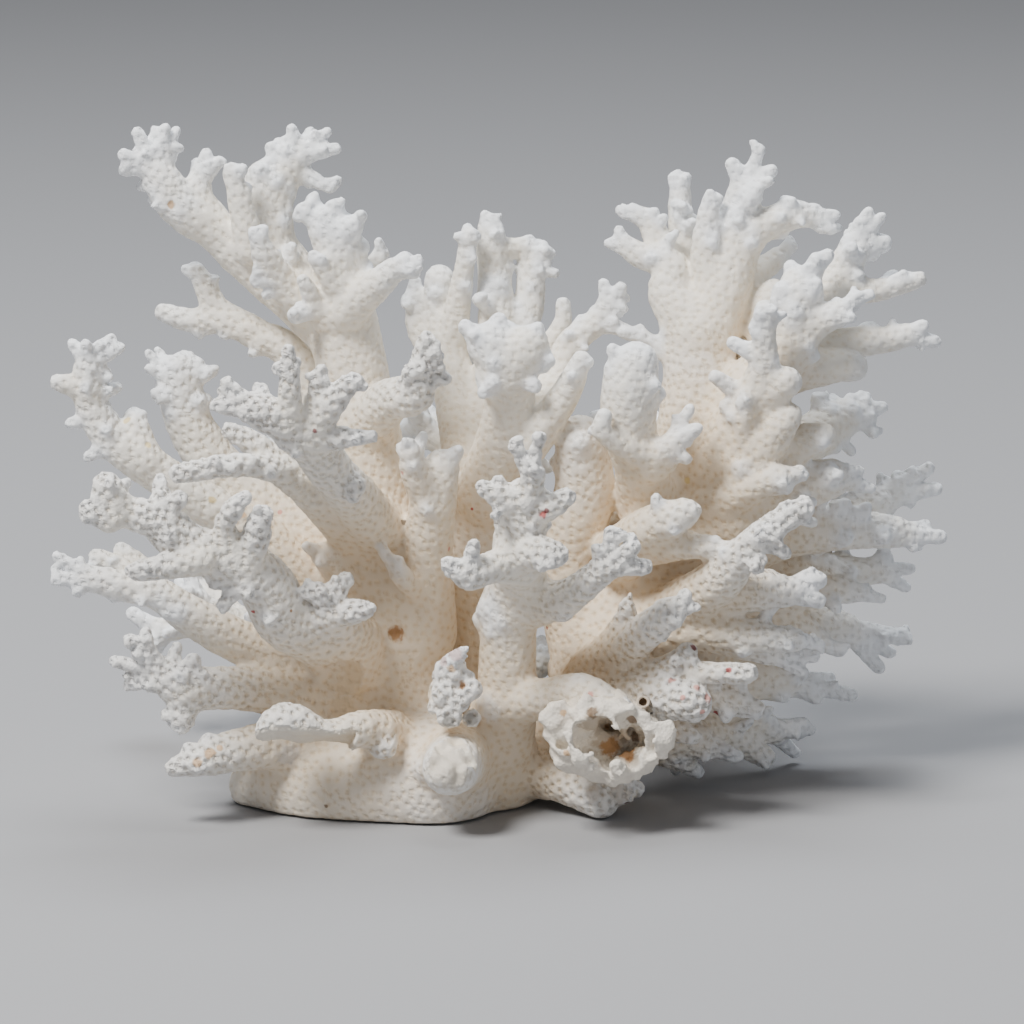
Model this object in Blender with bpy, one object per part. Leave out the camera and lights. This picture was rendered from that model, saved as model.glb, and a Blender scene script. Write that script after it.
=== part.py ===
"""Branching coral: one bleached skeleton of a lace coral, cut off flat at its foot, split at its main forks.

The colony is drawn on a front sheet. Every limb has routes, which run from where the limb leaves its
trunk out to its tips, and fingers, which stand on the nearest route. A point is (across, down, near,
radius) in millimetres: across and down from the sheet's top left corner, near towards the viewer from
the foot's middle, and radius is the limb's half thickness there. The limbs behind, which the front
sheet doesn't show, grow by a rule.
"""

import math

import bmesh
import bpy
import numpy as np
from mathutils import Matrix, Vector

# The front sheet: how it is looked at, and where its middle is. Origin: middle of the foot's flat cut.
VIEW_RISE = math.radians(12)
VIEW_DISTANCE = 1.1
SHEET_AIM = np.array([0.0294, 0.0, 0.0566])
SHEET_MIDDLE = 102.4
MILLIMETRE = 0.001

# How branches end and how fingers stand on them, as shares of a thickness or a length, and in metres
MOST_PULLED_BACK = 0.7
THIN_END = 0.004
FINGER_SLIM = 0.88
FINGER_FLARE = 1.7
FINGER_LEAN = 0.5
ROOT_SHARE = 0.9
THINNEST_ROOT = 0.0018

# The rule of the limbs behind. A fork is (point of the stem, lean to the side, rise)
FAR_BEND = np.array([0.55, 0.55, 0.2])
FAR_STEM_POINTS = 6
FAR_STEM_ROOT = 0.0054
FAR_STEM_TAPER = 0.0022
FAR_FORKS = ((2, 1, 0.5), (3, -1, 0.6), (4, 0.3, 1.2), (4, -0.8, -0.5))
FAR_FORK_OUTWARD = 0.7
FAR_FORK_LENGTH = (0.012, 0.015)
FAR_FORK_ROOT = 0.75
FAR_FORK_MIDDLE = 0.6
FAR_FORK_RADII = (0.0028, 0.0024)
FAR_FINGERS = 4
FAR_FINGER_SWING = 0.4
FAR_FINGER_SPREAD = 0.9
FAR_FINGER_OUTWARD = (0.5, 1.0)
FAR_FINGER_LENGTH = (0.0050, 0.0072)
FAR_FINGER_ROOT = 0.0021
FAR_FINGER_RADII = (0.0013, 0.0016)

# The broken crust: a lumpy egg and the egg scooped out of it, placed on the front sheet
CRUST_SPOT = (120.8, 147.2, 36)
CRUST_SIZE = (0.0122, 0.0080, 0.0088)
HOLLOW_SHIFT = (0.0025, -0.0060, -0.0015)
HOLLOW_SIZE = (0.0082, 0.0085, 0.0056)
CRUST_TILT = math.radians(14)
CRUST_LUMPS = 0.07
CRUST_FACETS = 0.24

# The skeleton's flesh and its fit
VOXEL = 0.0006
SMOOTH_ROUNDS = 4
TRIANGLES_PER_BRANCH = 7
TRIANGLES_PER_LIMB = 35
FIT_GAP = 0.00042
EVEN_ROUNDS = 6
LONGEST_SHIFT = 0.0016
LEAST_KEPT = 0.25
MOST_KEPT = 1.001
THINNEST_FACET = 0.000015
SHARP_EDGE = math.radians(50)
GROUND = 0.0

LIMBS = {
    "foot": ([
        [(52.4, 157, 11, 6.5), (66, 156, 14, 12.5), (86, 155.5, 17, 14)],
        [(76, 152, -10, 18), (94, 151, -12, 14)],
        [(76, 150, 2, 15), (78, 141, 4, 12)],
        [(92, 151, 22, 7), (90, 153.6, 38, 5.4)],
    ], []),
    "left_trunk": ([
        [(78, 144, 5, 12), (79, 128, 6, 10), (77, 112, 5, 9.2), (74, 98, 4, 8.4), (72, 84, 3, 7.6),
         (70.5, 73, 2, 6.6), (69, 65, 1, 6)],
        [(68, 144, 10, 9), (61, 136, 10, 6.5), (57, 130, 12, 5.5)],
        [(72, 116, 8, 6), (63, 110, 13, 2.8)],
    ], [(60.6, 109, 16, 1.3)]),
    "middle_fork": ([
        [(84, 126, 8, 7.5), (85.5, 112, 12, 5), (86.5, 101, 14, 4.6), (88, 94, 14, 3.8), (89.6, 92, 15, 2.8)],
        [(86.5, 101, 14, 4), (83, 94, 18, 3), (82, 90, 20, 2.4)],
        [(85, 119, 12, 3), (81.8, 116.8, 17, 2.2), (79.4, 114, 19, 2)],
    ], [(85, 86.4, 15, 1.3), (92.6, 89.4, 15, 1.3), (82, 87.4, 20, 1.7), (79, 89.4, 19, 1.2),
        (75.8, 109, 19, 1.3), (79.6, 111.2, 20, 1.5)]),
    "central_trunk": ([
        [(98, 156, 12, 9), (101, 141, 20, 6.2), (101.6, 128, 22, 5.6), (102, 121, 23, 5.8), (103.6, 117, 24, 5.4)],
        [(100, 141, 20, 5.5), (109, 139.6, 27, 3.9), (116, 138.5, 30, 3.8), (122, 141, 32, 3.2), (128, 145, 34, 2.2)],
    ], [(97.6, 121.8, 28, 2.6), (115.6, 135.2, 31, 1.3), (97, 142, 27, 3.4)]),
    "back_trunk": ([
        [(97, 153, -6, 9), (95.6, 130, -6, 6.2), (95, 114, -4, 6), (96, 100, -4, 6)],
    ], []),
    "right_trunk": ([
        [(106, 153, 2, 9), (115, 146, 4, 8.5), (120, 134, 6, 8), (126, 121, 4, 8), (133, 107, 0, 8), (138, 92, -2, 8),
         (140, 78, -4, 7.6), (140, 67, -6, 7.0)],
    ], [(132, 66.4, -4, 1.4), (124, 66, -5, 1.4)]),
    "middle_trunk": ([
        [(118, 136, 4, 7), (115, 122, 2, 6.6), (114, 110, 2, 6.6), (117, 98, 4, 6), (116, 88, 6, 5)],
    ], []),
    "upper_left_antler": ([
        [(69, 66, 0, 5.8), (60, 60, -4, 5.2), (52, 54, -6, 4.6), (47, 50, -6, 4.2), (43, 46, -6, 4.0), (38, 43, -5, 4.2),
         (35, 40, -5, 4.2), (32.5, 36, -5, 3.6), (29.5, 32.5, -5, 3.2)],
        [(43, 46, -6, 3.6), (40, 40, -7, 3), (39.6, 35, -8, 2.6)],
        [(50, 50, -2, 3.2), (48, 40, -2, 2.4), (45.6, 32.4, -2, 1.5)],
    ], [(27, 25.4, -5, 1.5), (31, 25, -7, 1.3), (33.2, 24.6, -6, 1.3), (35.6, 25.2, -8, 1.2), (23.6, 30.4, -3, 1.6),
        (23.6, 34.2, -4, 1.3), (30.4, 38.6, -2, 1.3), (36, 41.6, -2, 3.4), (41.6, 29.6, -8, 1.6), (44.4, 31.4, -7, 1.3),
        (39, 31.5, -10, 1.2), (49.4, 33.4, -1, 1.5)]),
    "second_antler": ([
        [(67, 66, -2, 5.8), (60, 58, -8, 6), (54, 50, -10, 5.8), (53, 42, -11, 5.2), (53, 36, -11, 4)],
        [(54, 40, -11, 4), (58, 33, -12, 3.4), (61, 30, -12, 3)],
        [(61, 62, 2, 3.6), (56, 56, 4, 3), (53, 51, 6, 2.6), (51.5, 47.5, 7, 2)],
    ], [(53.6, 28.4, -11, 1.6), (56.6, 29.4, -9, 1.2), (55.2, 27.6, -13, 1.3), (58, 24.6, -12, 1.4), (62.4, 25.2, -14, 1.3),
        (66.2, 25.8, -12, 1.3), (68.4, 29.4, -11, 1.4), (67, 38, -10, 1.5), (58.6, 49, -2, 1.4),
        (50, 45.6, 8, 1.6), (53.2, 45, 7, 1.1), (50, 56.6, 6, 2), (52.4, 59.6, 6, 1.3), (53.6, 57, 7, 1.1)]),
    "left_crown": ([
        [(70, 73, 2, 6.2), (69, 66, 2, 6), (68, 58, 3, 5.8), (68, 50, 4, 5), (66, 46, 4, 4.2)],
        [(69, 58, 0, 3.6), (74, 54, -4, 2.4), (77, 50, -6, 1.5)],
        [(69, 62, 6, 4.6), (74, 58, 9, 3.4), (80, 53, 11, 2.6)],
        [(67, 57, 8, 2.4), (62, 50.4, 10, 1.4)],
        [(65, 64, 6, 2.6), (60, 55, 10, 1.3)],
    ], [(59.2, 41, 5, 1.5), (61.8, 39, 3, 1.3), (66.6, 40, 6, 1.5), (71.6, 44.4, 9, 2.8), (78, 53.2, -6, 1.2),
        (81.6, 50.4, 11, 1.6), (84.6, 51.4, 12, 1.2), (84, 55, 12, 1.2)]),
    "back_crown_left": ([
        [(96, 101, -8, 6), (92, 84, -16, 4.6), (90, 72, -22, 4), (88, 62, -25, 3), (88, 53, -25, 3.2)],
        [(90, 74, -24, 3.6), (84, 66, -26, 2.6), (83, 58, -27, 2.2)],
        [(90, 70, -22, 3.2), (92.5, 56, -20, 2.2), (94, 45.6, -19, 1.4)],
    ], [(83, 55, -27, 1.6), (87, 58.6, -21, 2), (93.6, 57.4, -17, 1.2)]),
    "back_crown_right": ([
        [(96, 100, -8, 6), (98, 82, -16, 4.8), (99.5, 70, -20, 4.2), (99, 58, -24, 3.4), (98, 49, -25, 2.8),
         (97.6, 45, -25, 2.2)],
        [(98, 50, -25, 2.4), (103, 49.5, -26, 2), (106, 51, -27, 2.6), (106, 60, -25, 3), (104, 68, -22, 3.2)],
        [(105, 76, -14, 3), (112, 66, -14, 2), (113, 59.4, -14, 1.4)],
    ], [(96.8, 42, -25, 1.5), (99.2, 43, -24, 1.1), (100.6, 45, -24, 1), (100.6, 47.4, -23, 1), (99.4, 57.4, -20, 3.4),
        (106.6, 47, -27, 1.4), (109.6, 48.6, -27, 1.4), (111.2, 50.6, -26, 1.2), (110.4, 52.4, -25, 1.2),
        (112, 55, -25, 1.2), (95, 59.4, -16, 1.4)]),
    "crown_palm": ([
        [(97, 99, 0, 6), (101, 87, 5, 5.4), (102, 79, 8, 5), (101, 73, 10, 5.4), (98, 69, 11, 4.5)],
        [(101, 75, 10, 5), (105, 70, 11, 4.6), (107, 67, 11, 3.4)],
        [(106, 89, 8, 3.8), (113, 79, 10, 3), (117, 70.4, 12, 1.8)],
        [(108, 82, -2, 4.4), (112, 76, -6, 4), (114, 69, -8, 3), (120, 64, -8, 2.4), (122, 60, -8, 2.2)],
    ], [(92, 64.4, 12, 1.8), (100, 62.4, 10, 2), (108, 64.6, 12, 1.8), (94, 66.5, 15, 1.6), (96, 79, 16, 1.6),
        (98, 77, 17, 1.6), (108, 78, 15, 1.8), (120.6, 55.6, -8, 1.4), (125, 56.6, -7, 1.6)]),
    "rough_fan": ([
        [(73, 86, 6, 5.5), (78, 80, 14, 4.2), (83, 79, 19, 3.6), (84, 74, 21, 2.2), (85.6, 66.4, 22, 1.6)],
    ], [(87.4, 71, 23, 1.1), (89, 73, 22, 1.6), (90.4, 75.6, 20, 1.3), (81, 74, 24, 1.7)]),
    "knob_plate": ([
        [(130, 101, 6, 6.5), (128, 94, 12, 5), (126, 86, 15, 5.2), (126, 78, 16, 5.6), (127, 73, 16, 4.6)],
        [(132, 92, 16, 3.6), (124, 89, 20, 2.4), (120.5, 86, 22, 1.8), (121, 81.6, 22, 1.6)],
        [(130, 93, 16, 3.6), (134.5, 88.5, 19, 2.6)],
    ], [(121.6, 69, 17, 1.6), (127, 69.4, 17, 2.2), (131, 73, 15, 2), (138.6, 80.8, 16, 1.3), (140.4, 85, 18, 1.6),
        (138.4, 92.4, 19, 1.4)]),
    "right_crown_left": ([
        [(140, 67, -5, 6), (134, 59, -8, 4.4), (134, 53.5, -10, 3.4), (128, 51, -11, 2.6), (124, 48.5, -12, 2.2)],
        [(134.4, 54, -12, 3.6), (130, 44.6, -15, 2.4), (127, 42.5, -15, 2)],
        [(135, 58, -10, 4), (136.4, 50, -16, 3), (136, 42, -18, 2.4), (136, 38, -18, 2.2)],
    ], [(123.4, 45, -12, 1.3), (120.6, 48.6, -12, 1.3), (126.2, 40.6, -15, 1.3), (124, 42.8, -15, 1.1),
        (131.2, 41.6, -13, 1.3), (134.4, 34.4, -18, 1.5), (137.6, 34.4, -18, 1.3)]),
    "right_crown_top": ([
        [(141, 67, -6, 6.4), (144.5, 58, -8, 5), (146, 50, -12, 4.4), (148, 43, -14, 4), (149, 36, -14, 3.4)],
        [(143, 60, -8, 4.2), (141, 50, -9, 2.8), (141.6, 42, -10, 2.2)],
    ], [(145.8, 31.6, -14, 1.9), (152.4, 29, -14, 1.4), (155.4, 33.4, -13, 1.7), (152, 38, -9, 1.3), (142.2, 37.8, -10, 1.5),
        (144.4, 39, -10, 1.1), (144, 44.4, -18, 1.7)]),
    "right_crown_arm": ([
        [(145, 58, -10, 5), (148, 50, -12, 4.2), (152, 45.5, -12, 3.2), (158, 43, -13, 3), (163, 43, -14, 2.6)],
        [(148, 57, -14, 3), (155, 52, -20, 2.2), (158, 49, -21, 1.4)],
    ], [(163, 40.6, -14, 1.4), (168.2, 43, -14, 1.3), (167, 46.4, -13, 1.6), (156.8, 39.4, -12, 1.2), (158, 47, -21, 1.2),
        (159.4, 49.6, -20, 1.1), (157, 52.4, -19, 1.1)]),
    "right_plate": ([
        [(141, 88, -2, 7), (150, 78, 2, 6), (157, 70, 2, 5.4), (159.5, 60, 2, 5), (162.5, 54, 1, 3.6)],
        [(157, 69, 2, 4.4), (163, 65, 4, 3), (169, 62, 5, 2.6)],
    ], [(163.6, 50.4, 1, 1.3), (166.6, 50, 1, 1.4), (164, 57, 6, 1.6), (172.4, 58.4, 4, 1.4), (174.6, 58.2, 3, 1.3)]),
    "right_antler": ([
        [(158, 70, -3, 4.6), (163, 62, -6, 4), (168, 55, -9, 3.8), (172, 48, -10, 3)],
        [(167, 58, -8, 3.6), (176, 58, -8, 2.2), (185.4, 55.4, -8, 1.6)],
    ], [(174, 41.4, -10, 1.5), (177, 42.6, -10, 1.3), (178.4, 48.4, -11, 2.4), (168.6, 47.6, -8, 1.4), (179, 55, -18, 2)]),
    "right_long_arm": ([
        [(156, 75, -3, 4.8), (168, 69, -8, 3.4), (178, 68, -9, 2.4), (183, 66.5, -9, 2.2)],
        [(156, 75, 0, 4.4), (167, 73, -2, 3.6), (173.5, 73.4, -3, 3.2)],
    ], [(185.6, 64.4, -8, 1.6), (188.2, 68.6, -9, 1.5), (174, 65, -13, 3)]),
    "right_shoulder": ([
        [(142, 96, 2, 7), (147, 86, 7, 5.4), (152, 76, 11, 3.4), (153, 69, 13, 2.4), (153, 60, 14, 1.8)],
        [(150, 82, 8, 4.2), (156, 77, 12, 3.4), (160, 75, 13, 3)],
        [(146, 96, 8, 3.4), (149, 84, 13, 2), (149.2, 78, 14, 1.5)],
        [(146, 100, 6, 6), (152, 90, 10, 5), (157, 84, 12, 3), (160, 81.6, 12, 1.6)],
        [(150, 99, 4, 5), (158, 90, 6, 4), (164, 87.5, 6, 3), (166.6, 89, 6, 2)],
    ], [(157.4, 62.6, 12, 1.1), (150, 65, 14, 1.6), (144, 81, 12, 1.8), (148, 94, 15, 2.4)]),
    "right_back_plate": ([
        [(146, 96, -8, 6), (158, 90, -16, 5), (167, 84.5, -22, 4.4), (172, 82, -24, 3.6)],
    ], [(163, 78.4, -22, 1.8), (166, 78.8, -25, 1.5), (169.8, 78.6, -24, 1.4), (173, 79.4, -25, 1.2), (177.6, 81.2, -26, 1.6),
        (175.4, 87.4, -23, 1.3), (171, 91, -21, 1.3)]),
    "right_arm_upper": ([
        [(136, 106, 4, 7), (146, 104, 6, 6), (156, 99, 4, 5), (165, 96, 2, 4.2), (170, 96, 0, 3.2)],
        [(142, 101, 8, 4.4), (154, 96, 14, 2.8), (160, 94.8, 14, 2)],
    ], [(172.6, 93.4, 0, 1.4), (175, 98, -1, 1.4), (164, 93.4, 2, 1.4), (169, 93, 1, 1.4), (161.6, 95.4, 14, 1.7),
        (153.4, 93.4, 14, 1.4)]),
    "right_blades": ([
        [(140, 112, -6, 6), (152, 110, -12, 5), (162, 107, -16, 4.4), (172, 103, -18, 4), (179, 99, -19, 3.4)],
    ], [(183.2, 93.2, -18, 1.4), (186.8, 92.8, -18, 1.6), (188.4, 97.4, -18, 1.5), (180.8, 94.8, -22, 1.5),
        (176.6, 96.4, -23, 1.5)]),
    "right_arm_middle": ([
        [(138, 114, 0, 6.4), (150, 109, -2, 5.4), (160, 106.6, -4, 4.4), (172, 106, -8, 3.8), (182, 106.6, -10, 3.2)],
    ], [(189.4, 107.6, -11, 1.8), (183, 110.4, -8, 1.3), (186, 104.6, -13, 1.5), (171.6, 101.4, -4, 1.5), (164, 102.6, -8, 1.4)]),
    "right_arm_lower": ([
        [(136, 122, -4, 6.6), (148, 118, -8, 5), (160, 115, -12, 4), (172, 114.4, -15, 3), (178, 114.2, -16, 2.4)],
        [(150, 120, -6, 4.6), (164, 118, -7, 3.2), (172, 118.4, -8, 2.4)],
    ], [(183.2, 113.6, -16, 1.4), (176.6, 111.6, -15, 1.4), (182, 118, -19, 1.4), (177.4, 120, -8, 1.3), (174, 117, -9, 1.2)]),
    "right_low_antler": ([
        [(138, 128, -8, 6.4), (150, 126, -14, 5), (162, 125, -18, 4.4), (172, 126, -21, 3.4)],
        [(148, 125, -8, 4), (158, 124, -8, 3), (165, 129, -10, 2.4)],
    ], [(182.2, 127.6, -23, 1.8), (179, 131, -25, 1.5), (176.6, 134.4, -22, 1.6), (169, 130.6, -10, 1.6)]),
    "right_low_hand": ([
        [(134, 136, -6, 6.6), (146, 135, -12, 5), (155, 136, -16, 4.2), (160, 137, -18, 3.4)],
        [(142, 139, -8, 4.4), (150, 144, -12, 3.6), (156, 147, -15, 2.8)],
    ], [(171.6, 139.2, -20, 1.6), (167, 135.4, -22, 1.6), (164.4, 140.4, -16, 1.6), (162, 144.4, -16, 1.6),
        (159.6, 151.2, -20, 1.5), (163, 146, -17, 1.5)]),
    "double_finger": ([
        [(124, 111, 10, 5.6), (130, 106, 19, 4.6), (136, 103, 25, 3.2), (140, 101.6, 27, 1.9)],
        [(128, 109, 14, 4.4), (138, 109, 22, 2.8), (146.8, 110.4, 25, 1.7)],
    ], []),
    "rough_right_antler": ([
        [(132, 124, 10, 5.4), (144, 116, 22, 4.4), (149, 110, 27, 3), (155, 105, 29, 2.6), (160, 102, 29, 2.4)],
    ], [(162.6, 101.4, 28, 1.9), (163, 104.8, 26, 1.2), (155.4, 107, 33, 2.2), (158, 111.4, 30, 1.5), (152.4, 114.4, 31, 1.4)]),
    "right_front_arm": ([
        [(132, 122, 8, 6), (142, 119, 14, 5), (150, 118, 16, 4.4), (159, 118.4, 15, 3.4)],
    ], [(165.2, 120.6, 16, 1.8), (165.4, 115.4, 14, 2), (163, 113.6, 14, 1.3)]),
    "low_front_arm": ([
        [(124, 128, 8, 6.4), (132, 126, 12, 5.4), (142, 126, 16, 4), (152, 127.6, 18, 3), (160, 128, 18, 2.2)],
        [(144, 127, 15, 3.8), (156, 131, 14, 2.8)],
    ], [(162.6, 128, 18, 1.5), (164.8, 129, 16, 1.3), (161, 134.6, 14, 1.5), (164, 131.4, 12, 1.6)]),
    "low_right_limb": ([
        [(120, 142, 4, 7), (132, 138, 8, 5), (144, 139, 8, 3.6), (151, 142, 8, 2.6)],
        [(118, 147, 2, 6), (128, 147, 3, 5), (138, 148, 1, 3.6), (144, 150, 0, 2.6)],
        [(132, 145, 0, 4.4), (144, 147, -6, 3.2), (154.6, 152, -12, 2)],
        [(126, 146, 8, 3.6), (134, 146, 14, 2.4), (140.4, 147.6, 15, 1.6)],
        [(128, 148, 2, 4), (138, 153, -1, 2.2)],
    ], [(151.6, 144, 8, 1.6), (148.6, 151.6, -2, 1.6), (147, 150.6, 3, 1.4), (140.4, 155, -3, 1.6)]),
    "rough_pair": ([
        [(120, 134, 14, 5.6), (126, 129, 22, 4), (132, 124, 28, 3.2), (136, 121, 30, 2.8)],
        [(122, 130, 16, 3.4), (125, 124, 21, 2.2), (125.6, 120.6, 23, 1.6)],
    ], [(137.6, 118, 30, 1.5), (140, 121.6, 30, 1.3), (135, 125.4, 33, 2), (131.4, 120.4, 29, 1.2)]),
    "speckled_arm": ([
        [(118, 137, 14, 5.8), (125, 138, 22, 4.8), (131, 139.6, 27, 4.2), (137, 140, 30, 4), (142, 142, 31, 3.6)],
        [(124, 136, 19, 3.8), (130, 134.6, 23, 2.8), (135, 133, 25, 2.6), (138.6, 129.4, 27, 1.8)],
        [(134, 134, 24, 2.6), (141, 134.6, 28, 2.2), (147, 134.6, 30, 2), (151.4, 134.4, 31, 1.8)],
    ], [(134.4, 135.6, 30, 1.4)]),
    "front_right_antler": ([
        [(105, 121, 25, 5), (112, 120, 30, 3.8), (117, 117, 34, 3), (121, 113.5, 37, 2.8), (123.5, 112.4, 38, 2.6)],
    ], [(122.2, 105.2, 38, 1.4), (119, 109, 39, 1.3), (127.6, 108.8, 39, 1.5), (130.4, 113.8, 38, 1.4), (113.6, 124, 32, 2)]),
    "front_middle_antler": ([
        [(104, 117, 26, 5.4), (103.6, 110, 33, 5), (104.6, 104, 38, 4.6), (105, 100, 40, 4.2)],
        [(105, 101, 40, 3.4), (106.6, 95.5, 43, 2.2), (105.4, 92, 44, 1.8)],
        [(106, 103, 40, 3), (111, 101, 42, 2.2), (114.6, 98.6, 43, 1.7)],
        [(104, 101, 40, 3.6), (99.5, 99, 42, 2.4), (95.4, 97, 43, 1.4)],
        [(103.4, 113, 34, 4.6), (99, 113.4, 40, 3.2), (94, 115, 44, 2.8), (90.5, 113.6, 45, 2.4)],
        [(104, 110, 38, 4.4), (108.6, 110.6, 43, 3.2), (113.4, 111.4, 45, 2.4)],
    ], [(102.2, 88.4, 45, 1.1), (108.4, 86.4, 45, 1.3), (88.8, 112, 46, 2), (95, 108, 46, 1.4), (98.6, 104, 45, 1)]),
    "front_left_antler": ([
        [(76, 107, 10, 6), (71, 100, 21, 5), (66, 94, 31, 4.4), (62, 88, 38, 4.4), (58, 85, 41, 4), (53, 82.6, 43, 3.4),
         (48, 81, 44, 2.8)],
        [(58, 84, 43, 2.6), (58, 77, 45, 2), (57.6, 69, 46, 1.2)],
        [(62, 87, 40, 3.4), (66, 81, 43, 2.8), (70, 76.6, 45, 2.2)],
        [(63, 88, 40, 3), (70, 87.4, 42, 2)],
        [(68, 96, 30, 3), (72.6, 98, 33, 2.4)],
        [(62, 85, 41, 2.4), (64.4, 73, 44, 1.2)],
    ], [(44.4, 75.6, 44, 1.5), (42, 81, 45, 1.7), (50.6, 78.6, 40, 1.2), (52.4, 77, 39, 1.2), (54.4, 73.6, 46, 1.4),
        (71.6, 75.2, 45, 2), (75.6, 87.4, 42, 1.3)]),
    "left_rail": ([
        [(73, 108, 8, 6), (64, 100, 20, 4), (56, 94.4, 29, 2.6), (48, 93, 34, 2.2), (40, 94, 37, 2), (34, 95, 38, 1.7)],
        [(59, 96, 26, 3), (51, 89, 28, 2.4), (44.4, 85.4, 29, 1.6)],
    ], []),
    "left_antler": ([
        [(66, 118, 4, 5.4), (50, 106, 6, 4.4), (38, 99, 8, 4.2), (31, 94, 9, 4), (26, 91, 10, 3.8), (21.5, 87, 10, 3.4),
         (18, 81, 10, 3), (17.6, 75, 10, 3), (18, 71, 10, 3)],
        [(17.6, 78, 10, 2.4), (13.5, 77, 11, 2), (10, 76, 11, 1.7)],
        [(29, 92, 10, 3.4), (27, 86, 8, 3), (26.6, 83.4, 7, 2.4)],
    ], [(13.6, 68, 10, 1.5), (23, 67, 9, 1.6), (25, 69, 10, 1.3), (17, 68, 13, 1.3), (22.4, 74.4, 9, 1.2), (24.4, 77, 8, 1.6),
        (22.4, 81, 9, 1.3), (13, 85, 11, 1.4), (20, 91, 12, 2), (26.4, 81.4, 7, 1.5), (29.4, 82.4, 7, 1.3),
        (29.2, 85.4, 9, 1.2)]),
    "left_hand": ([
        [(70, 110, 0, 6), (56, 103, -2, 5.2), (46, 96, -3, 5.2), (41, 90, -3, 5), (37.6, 84, -3, 4.6), (36, 78, -3, 4.4),
         (35.5, 75, -3, 4)],
    ], [(29, 70, -2, 1.1), (31.2, 69.4, -5, 1.2), (29, 73.4, 0, 1.3), (30, 78.6, 1, 1.3), (35, 71.6, -4, 1.3),
        (38.4, 70.4, -5, 1.6), (40.6, 72, -3, 1.3), (43, 74, -2, 1.3)]),
    "left_upper_arm": ([
        [(73, 92, -2, 6.4), (66, 82, -6, 4.6), (58, 70.4, -9, 3.6), (52.4, 67.4, -10, 3.2), (46, 64.4, -11, 2.8),
         (38, 64, -12, 2.4), (31, 62, -13, 1.9)],
        [(50, 66, -10, 2.8), (43.4, 61.6, -12, 2.5), (41, 57, -13, 2.3), (39, 54, -13, 1.9)],
    ], [(36, 53.6, -13, 1.3), (39, 53, -14, 1.6)]),
    "rough_left_antler": ([
        [(70, 132, 14, 7), (64, 127, 22, 6.4), (57, 123.4, 28, 6), (52, 115.6, 32, 5.4), (44, 111.6, 35, 4.8),
         (36.6, 108.6, 37, 4.2), (31.4, 104.4, 39, 3.6), (25, 102, 40, 3.2)],
        [(24, 102, 40, 3.4), (21.6, 98, 41, 3), (20.8, 94.4, 41, 2.2)],
        [(22, 104, 42, 2.6), (17.5, 102, 43, 2)],
        [(33, 104, 38, 2.6), (32, 98, 36, 2)],
        [(40, 112, 40, 3), (34, 113.4, 42, 2.4), (27, 114.2, 44, 2)],
        [(46, 110, 36, 3), (45, 105, 38, 2), (47, 101, 40, 2)],
        [(50, 112, 36, 3), (52, 104, 39, 2.6)],
    ], [(16.6, 100, 43, 1.5), (17, 104.6, 44, 1.4), (25.8, 95.8, 38, 1.3), (32, 94.8, 35, 1.6), (37, 99, 40, 2),
        (25.4, 114, 44, 1.8), (50, 98.6, 40, 1.6), (53.6, 101.6, 40, 2.2), (43.8, 122.4, 38, 1.7), (49.4, 119.8, 39, 1.6),
        (53.6, 125, 37, 1.6)]),
    "rough_left_knobs": ([
        [(71, 128, 18, 5.4), (66, 123.4, 28, 4), (66, 119, 31, 3)],
        [(67, 123, 30, 3), (73, 121.8, 33, 2.2)],
    ], [(60, 117.8, 33, 1.6), (62.6, 116.8, 32, 1.6), (67.8, 115.2, 31, 1.5), (70.2, 114.6, 29, 1.8), (74.4, 121.8, 34, 2)]),
    "pale_left_antler": ([
        [(68, 136, 8, 5.4), (58, 131, 12, 4.6), (49.4, 129, 14, 4.4), (38.6, 123.4, 17, 4), (31.6, 118.8, 19, 3.2),
         (24, 117, 20, 3), (16.2, 115.2, 21, 2.6)],
        [(30, 117, 16, 2.4), (23.8, 113.2, 14, 2), (17.8, 110.6, 13, 1.6)],
        [(31, 118, 14, 2.6), (28, 113, 12, 2), (23, 109, 11, 1.5)],
    ], [(10.4, 110.6, 21, 1.4), (10, 116.2, 22, 1.3), (15.2, 119.2, 22, 1.4), (32, 120.5, 22, 1.6), (36, 123, 22, 2)]),
    "low_left_antler": ([
        [(68, 141, 12, 7), (57, 138.6, 16, 5), (46.8, 137.6, 20, 4.2), (37.6, 137.6, 23, 4.4), (30.4, 133.6, 25, 3.6)],
        [(37, 139, 24, 4), (36.5, 144.6, 25, 2.6)],
    ], [(25.2, 127.2, 26, 1.6), (28.2, 127.2, 27, 1.6), (22, 132, 25, 1.4), (24.8, 137.6, 23, 1.4), (27, 136, 22, 1.3),
        (35.6, 128.4, 22, 1.4), (39.2, 131, 25, 2), (32, 143.2, 25, 1.4), (36, 146.4, 25, 2.2), (44.4, 135, 22, 1.6)]),
    "front_ledge": ([
        [(62, 148, 16, 6), (50, 149.6, 24, 4.4), (41.8, 151.4, 28, 3.6), (33, 154, 30, 1.6)],
        [(78, 147, 22, 5), (72.4, 145.8, 31, 3.6), (64.6, 147.8, 35, 3.6), (57, 144.6, 36, 4), (50.4, 149.8, 38, 1.4)],
        [(76, 147, 28, 4), (77.4, 151.4, 32, 2.6)],
    ], []),
    "broken_stub": ([
        [(102, 153, 8, 6.4), (111.6, 155.4, 17, 4.8), (118.6, 158.8, 22, 4.2), (122, 163, 25, 3.4)],
    ], [(128.8, 157.4, 20, 2)]),
    "barnacle_crust": ([[(89, 139, 30, 3.4), (91, 133, 32, 3)]], [(90.8, 130.4, 33, 1.6)]),
    "broken_crust": ([[(113, 147, 34, 6), (120, 148, 37, 8), (127, 147.6, 37, 5)]], []),
}

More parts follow.
